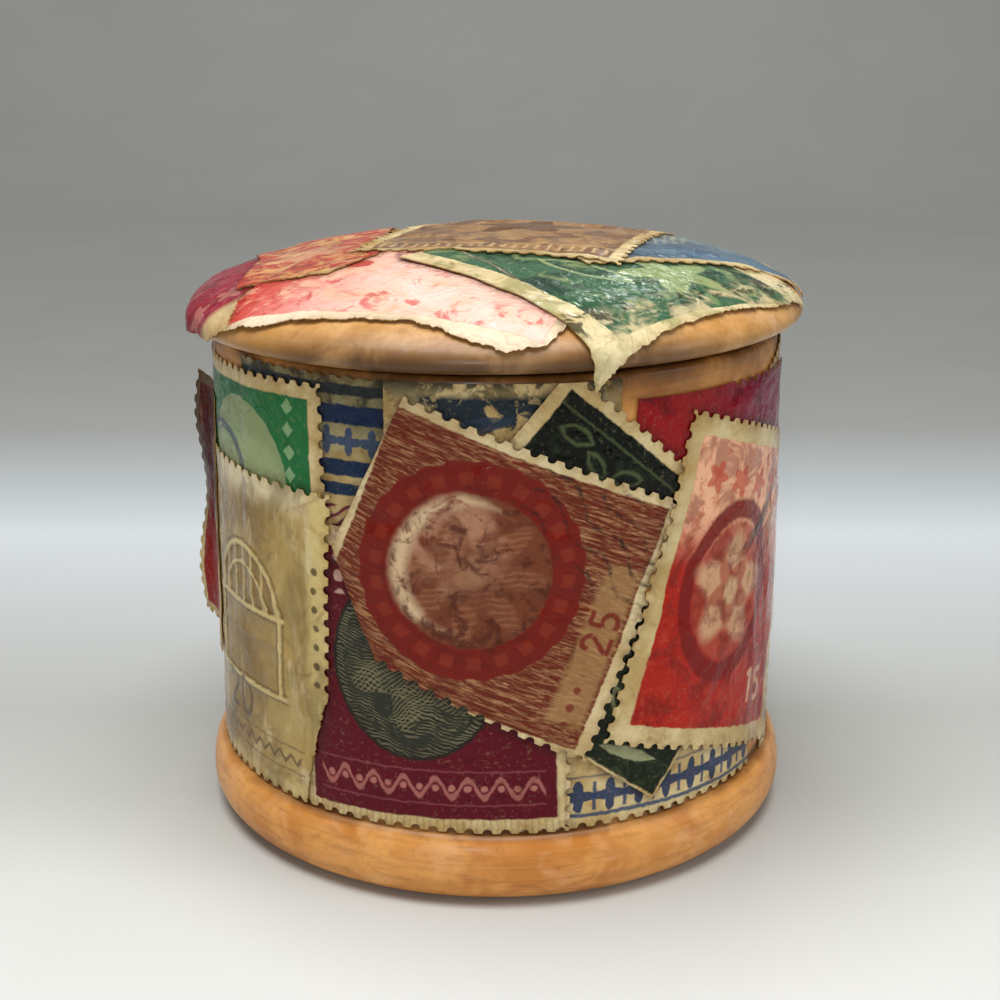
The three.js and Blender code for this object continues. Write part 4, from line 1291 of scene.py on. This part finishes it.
stamp = Stamp(LID, "green", (25.5, 21.5), (8.0, -7.8), -48)
stamp.wash(0.6, "e8dcb8")
panel = stamp.panel("3a6248", 1.1)
inked = panel.ramp(0.1, -0.1)
stamp.wash(inked * stamp.blotch(0.35, 0.45, 0.62) * 0.85, "16332a")
stamp.wash((1 - inked) * stamp.blotch(0.4, 0.44, 0.58) * 0.75, "a0a06c")
stamp.wash(inked * stamp.blotch(0.45, 0.53, 0.68) * 0.65, "8ba06c")
stamp.lay(petals(stamp.at(5.6, 2.0, 30), 3.2, 5, 0.35), "9fb37c", 0.75, 0.25)
stamp.lay(petals(stamp.at(-2.5, 1.5, 10), 2.4, 5, 0.35), "6f9068", 0.7, 0.25)
stamp.lay(both(abs(leaf(stamp.at(2.0, -3.6, 12), 8, 2.4)) - 0.2, panel), "a3b584", 0.7)
stamp.wash(stamp.plane.part(0).ramp(7.4, 10.0) * stamp.blotch(0.35, 0.42, 0.62) * 0.8, "d6caa0")
stamp.wash(abs(stamp.plane.part(0) - 9.2).ramp(2.0, 0.8) * stamp.blotch(0.7, 0.5, 0.62) * 0.85, "25281e")
corners = [
    (-7.2, -8.2, "c"),
    (6.6, -24.2, "t"),
    (7.6, -27.0, "t"),
    (9.4, -23.9, "t"),
    (15.6, -17.6, "t"),
    (21.2, -12.0, "t"),
    (24.6, -6.5, "c"),
    (12.0, 4.0, "c"),
]
stamp.paste("paper_green", corners, hem=LID_REACH, spacing=FINE_TRIANGLE, crease=0.04, curl=0.12)

stamp = Stamp(LID, "gold_red", (21.5, 25.5), (-16.73, 3.94), 10)
stamp.panel("b8443a", -1.0)
stamp.wash(stamp.blotch(0.5, 0.48, 0.62) * 0.8, "cda468")
stamp.wash(stamp.blotch(0.7, 0.5, 0.64) * 0.7, "8a2c30")
stamp.wash(stamp.blotch(0.3, 0.5, 0.6, (1, 2, 1)) * 0.7, "dcae78")
stamp.wash(stamp.blotch(0.45, 0.55, 0.66) * 0.8, "9c2c3c")
stamp.lay(petals(stamp.at(1.0, -6.0, 12), 2.8, 6, 0.3), "e0b890", 0.5, 0.5)
corners = [
    (-19.8, -9.2, "t"),
    (-12.5, -10.4, "t"),
    (-9.0, -6.0, "c"),
    (-9.0, 18.0, "c"),
    (-18.0, 19.0, "t"),
    (-20.5, 8.0, "t"),
    (-19.0, 0.0, "t"),
]
stamp.paste("paper_orange", corners, hem=0.975 * WIDEST)

stamp = Stamp(LID, "blue", (21.5, 25.5), (11.3, 5.4), 25)
panel = stamp.panel("54728c", 1.3)
inked = panel.ramp(0.1, -0.1)
stamp.wash(inked * stamp.plane.part(1).ramp(-8, 2) * 0.7, "8f9a9a")
stamp.wash(inked * stamp.blotch(0.35, 0.45, 0.62) * 0.6, "2c4462")
stamp.lay(both(leaf(stamp.at(2, -1, 60), 12, 4.5), panel), "aab0a4", stamp.hatch(60, 0.8) * 0.7, 0.3)
stamp.paste("paper_grey_blue", "rb", hem=0.985 * WIDEST, crease=0.04)

stamp = Stamp(LID, "brown", (21.5, 25.5), (2.46, 4.92), -15.5)
panel = stamp.panel("7c593f", 1.2)
inked = panel.ramp(0.1, -0.1)
stamp.wash(inked * stamp.blotch(0.3, 0.44, 0.6) * 0.75, "b28c5c")
stamp.wash(inked * stamp.blotch(0.6, 0.52, 0.66) * 0.6, "4a2e1c")
stamp.lay(petals(stamp.at(0, 1.5), 6.0, 10, 0.1), "a98458", 0.6, 0.4)
stamp.lay(petals(stamp.at(0, 1.5, 18), 3.8, 5, 0.3), "5a3a24", 0.8, 0.2)
stamp.lay(both(block(repeated(stamp.at(0, -10), 0.9), 0.3, 1.5), panel + 0.3), "cdb184", 0.8)
stamp.lay(both(abs(stamp.at(0, -8.7).part(1)) - 0.1, panel), "cdb184", 0.7)
stamp.paste("paper_brown", "trbl", hem=0.98 * WIDEST, crease=0.04)
LID.soil_and_shade()

# The setting: a pale floor that sweeps up into a grey wall, soft light from above, and the camera where the
# photographer held it. Its tones follow distances in millimetres, with a painted shadow about the foot of the
# box and a painted band of light behind it, and its other places are in metres.
FLOOR_FROM = -40
FLOOR_LENGTH = 640
# Floor and wall tones by distance, which also paint the box's shadow on the floor and a band of light behind
# it.
FLOOR_TONES_AND_PAINTED_LIGHT = [
    (-35, "cbcbc7"),
    (-20, "c2c3be"),
    (-6, "b0b1ac"),
    (12, "a4a5a0"),
    (42, "b1b4b4"),
    (66, "bcc1c4"),
    (90, "a1a6a7"),
    (118, "898a87"),
    (166, "81827e"),
    (207, "81827e"),
    (320, "878884"),
    (407, "8d8d8a"),
    (600, "949590"),
]

sweep_finish = Finish("sweep")
place = sweep_finish.place()
away = (place.part(1) - FLOOR_FROM) / FLOOR_LENGTH
stops = [((distance - FLOOR_FROM) / FLOOR_LENGTH, code) for distance, code in FLOOR_TONES_AND_PAINTED_LIGHT]
tone_and_painted_light = sweep_finish.node("ShaderNodeValToRGB", {"stops": stops}, [away])
grit = sweep_finish.noise(place, 0.02, 3, 0.6)
tone_and_painted_light = sweep_finish.mix(grit.ramp(0.3, 0.7, 0, 0.06), tone_and_painted_light, "b4b6b6")
sweep_material = sweep_finish.surface(tone_and_painted_light, 0.7, grit * 0.01, coat=0.0, coat_rough=0.3)

SWEEP_FRONT = -1.5
SWEEP_BEND = 0.35
SWEEP_RADIUS = 0.25
SWEEP_HIGH = 1.4
SWEEP_HALF = 1.6
bend = arc((SWEEP_BEND, SWEEP_RADIUS), (SWEEP_RADIUS, SWEEP_RADIUS), -QUARTER, 0, 16)
section = [(SWEEP_FRONT, 0), *bend, (SWEEP_BEND + SWEEP_RADIUS, SWEEP_HIGH)]
sweep_mesh = bpy.data.meshes.new("sweep")
points = [(x, y, z) for y, z in section for x in (-SWEEP_HALF, SWEEP_HALF)]
faces = [(2 * i, 2 * i + 1, 2 * i + 3, 2 * i + 2) for i in range(len(section) - 1)]
sweep_mesh.from_pydata(points, [], faces)
sweep_mesh.shade_smooth()
sweep_mesh.materials.append(sweep_material)
finished("sweep", sweep_mesh)

ROOM_COLOUR = (0.95, 0.97, 1.0, 1)
ROOM_STRENGTH = 0.2
world = bpy.data.worlds.new("room")
world.use_nodes = True
room_light = world.node_tree.nodes["Background"]
room_light.inputs["Color"].default_value = ROOM_COLOUR
room_light.inputs["Strength"].default_value = ROOM_STRENGTH
bpy.context.scene.world = world


def lamp(name, place, size, power):
    """A soft lamp that points at the middle of the box."""
    data = bpy.data.lights.new(name, "AREA")
    data.shape = "RECTANGLE"
    data.size, data.size_y = size
    data.energy = power
    thing = bpy.data.objects.new(name, data)
    thing.location = place
    middle = Vector((0, 0, CUP_HEIGHT * MILLIMETRE / 2))
    thing.rotation_euler = (middle - Vector(place)).to_track_quat("-Z", "Y").to_euler()
    bpy.context.scene.collection.objects.link(thing)


lamp("window_above", (-0.04, -0.05, 0.6), (0.5, 0.4), 5.0)
lamp("window_right", (0.5, -0.15, 0.28), (0.2, 0.3), 0.5)
lamp("bulb_front", (-0.08, -0.55, 0.2), (0.02, 0.02), 0.6)
lamp("bulb_behind", (0.1, 0.5, 0.35), (0.04, 0.04), 0.12)

LENS = 61.2
SENSOR = 36
NEAREST = 0.005
CAMERA_PLACE = (0.00033, -0.13698, 0.0664)
CAMERA_DOWN = math.radians(16.97)
camera_data = bpy.data.cameras.new("camera")
camera_data.lens = LENS
camera_data.sensor_width = SENSOR
camera_data.clip_start = NEAREST
camera = bpy.data.objects.new("camera", camera_data)
camera.location = CAMERA_PLACE
camera.rotation_euler = (QUARTER - CAMERA_DOWN, 0, 0)
bpy.context.scene.collection.objects.link(camera)
bpy.context.scene.camera = camera
bpy.context.scene.view_settings.view_transform = "Standard"
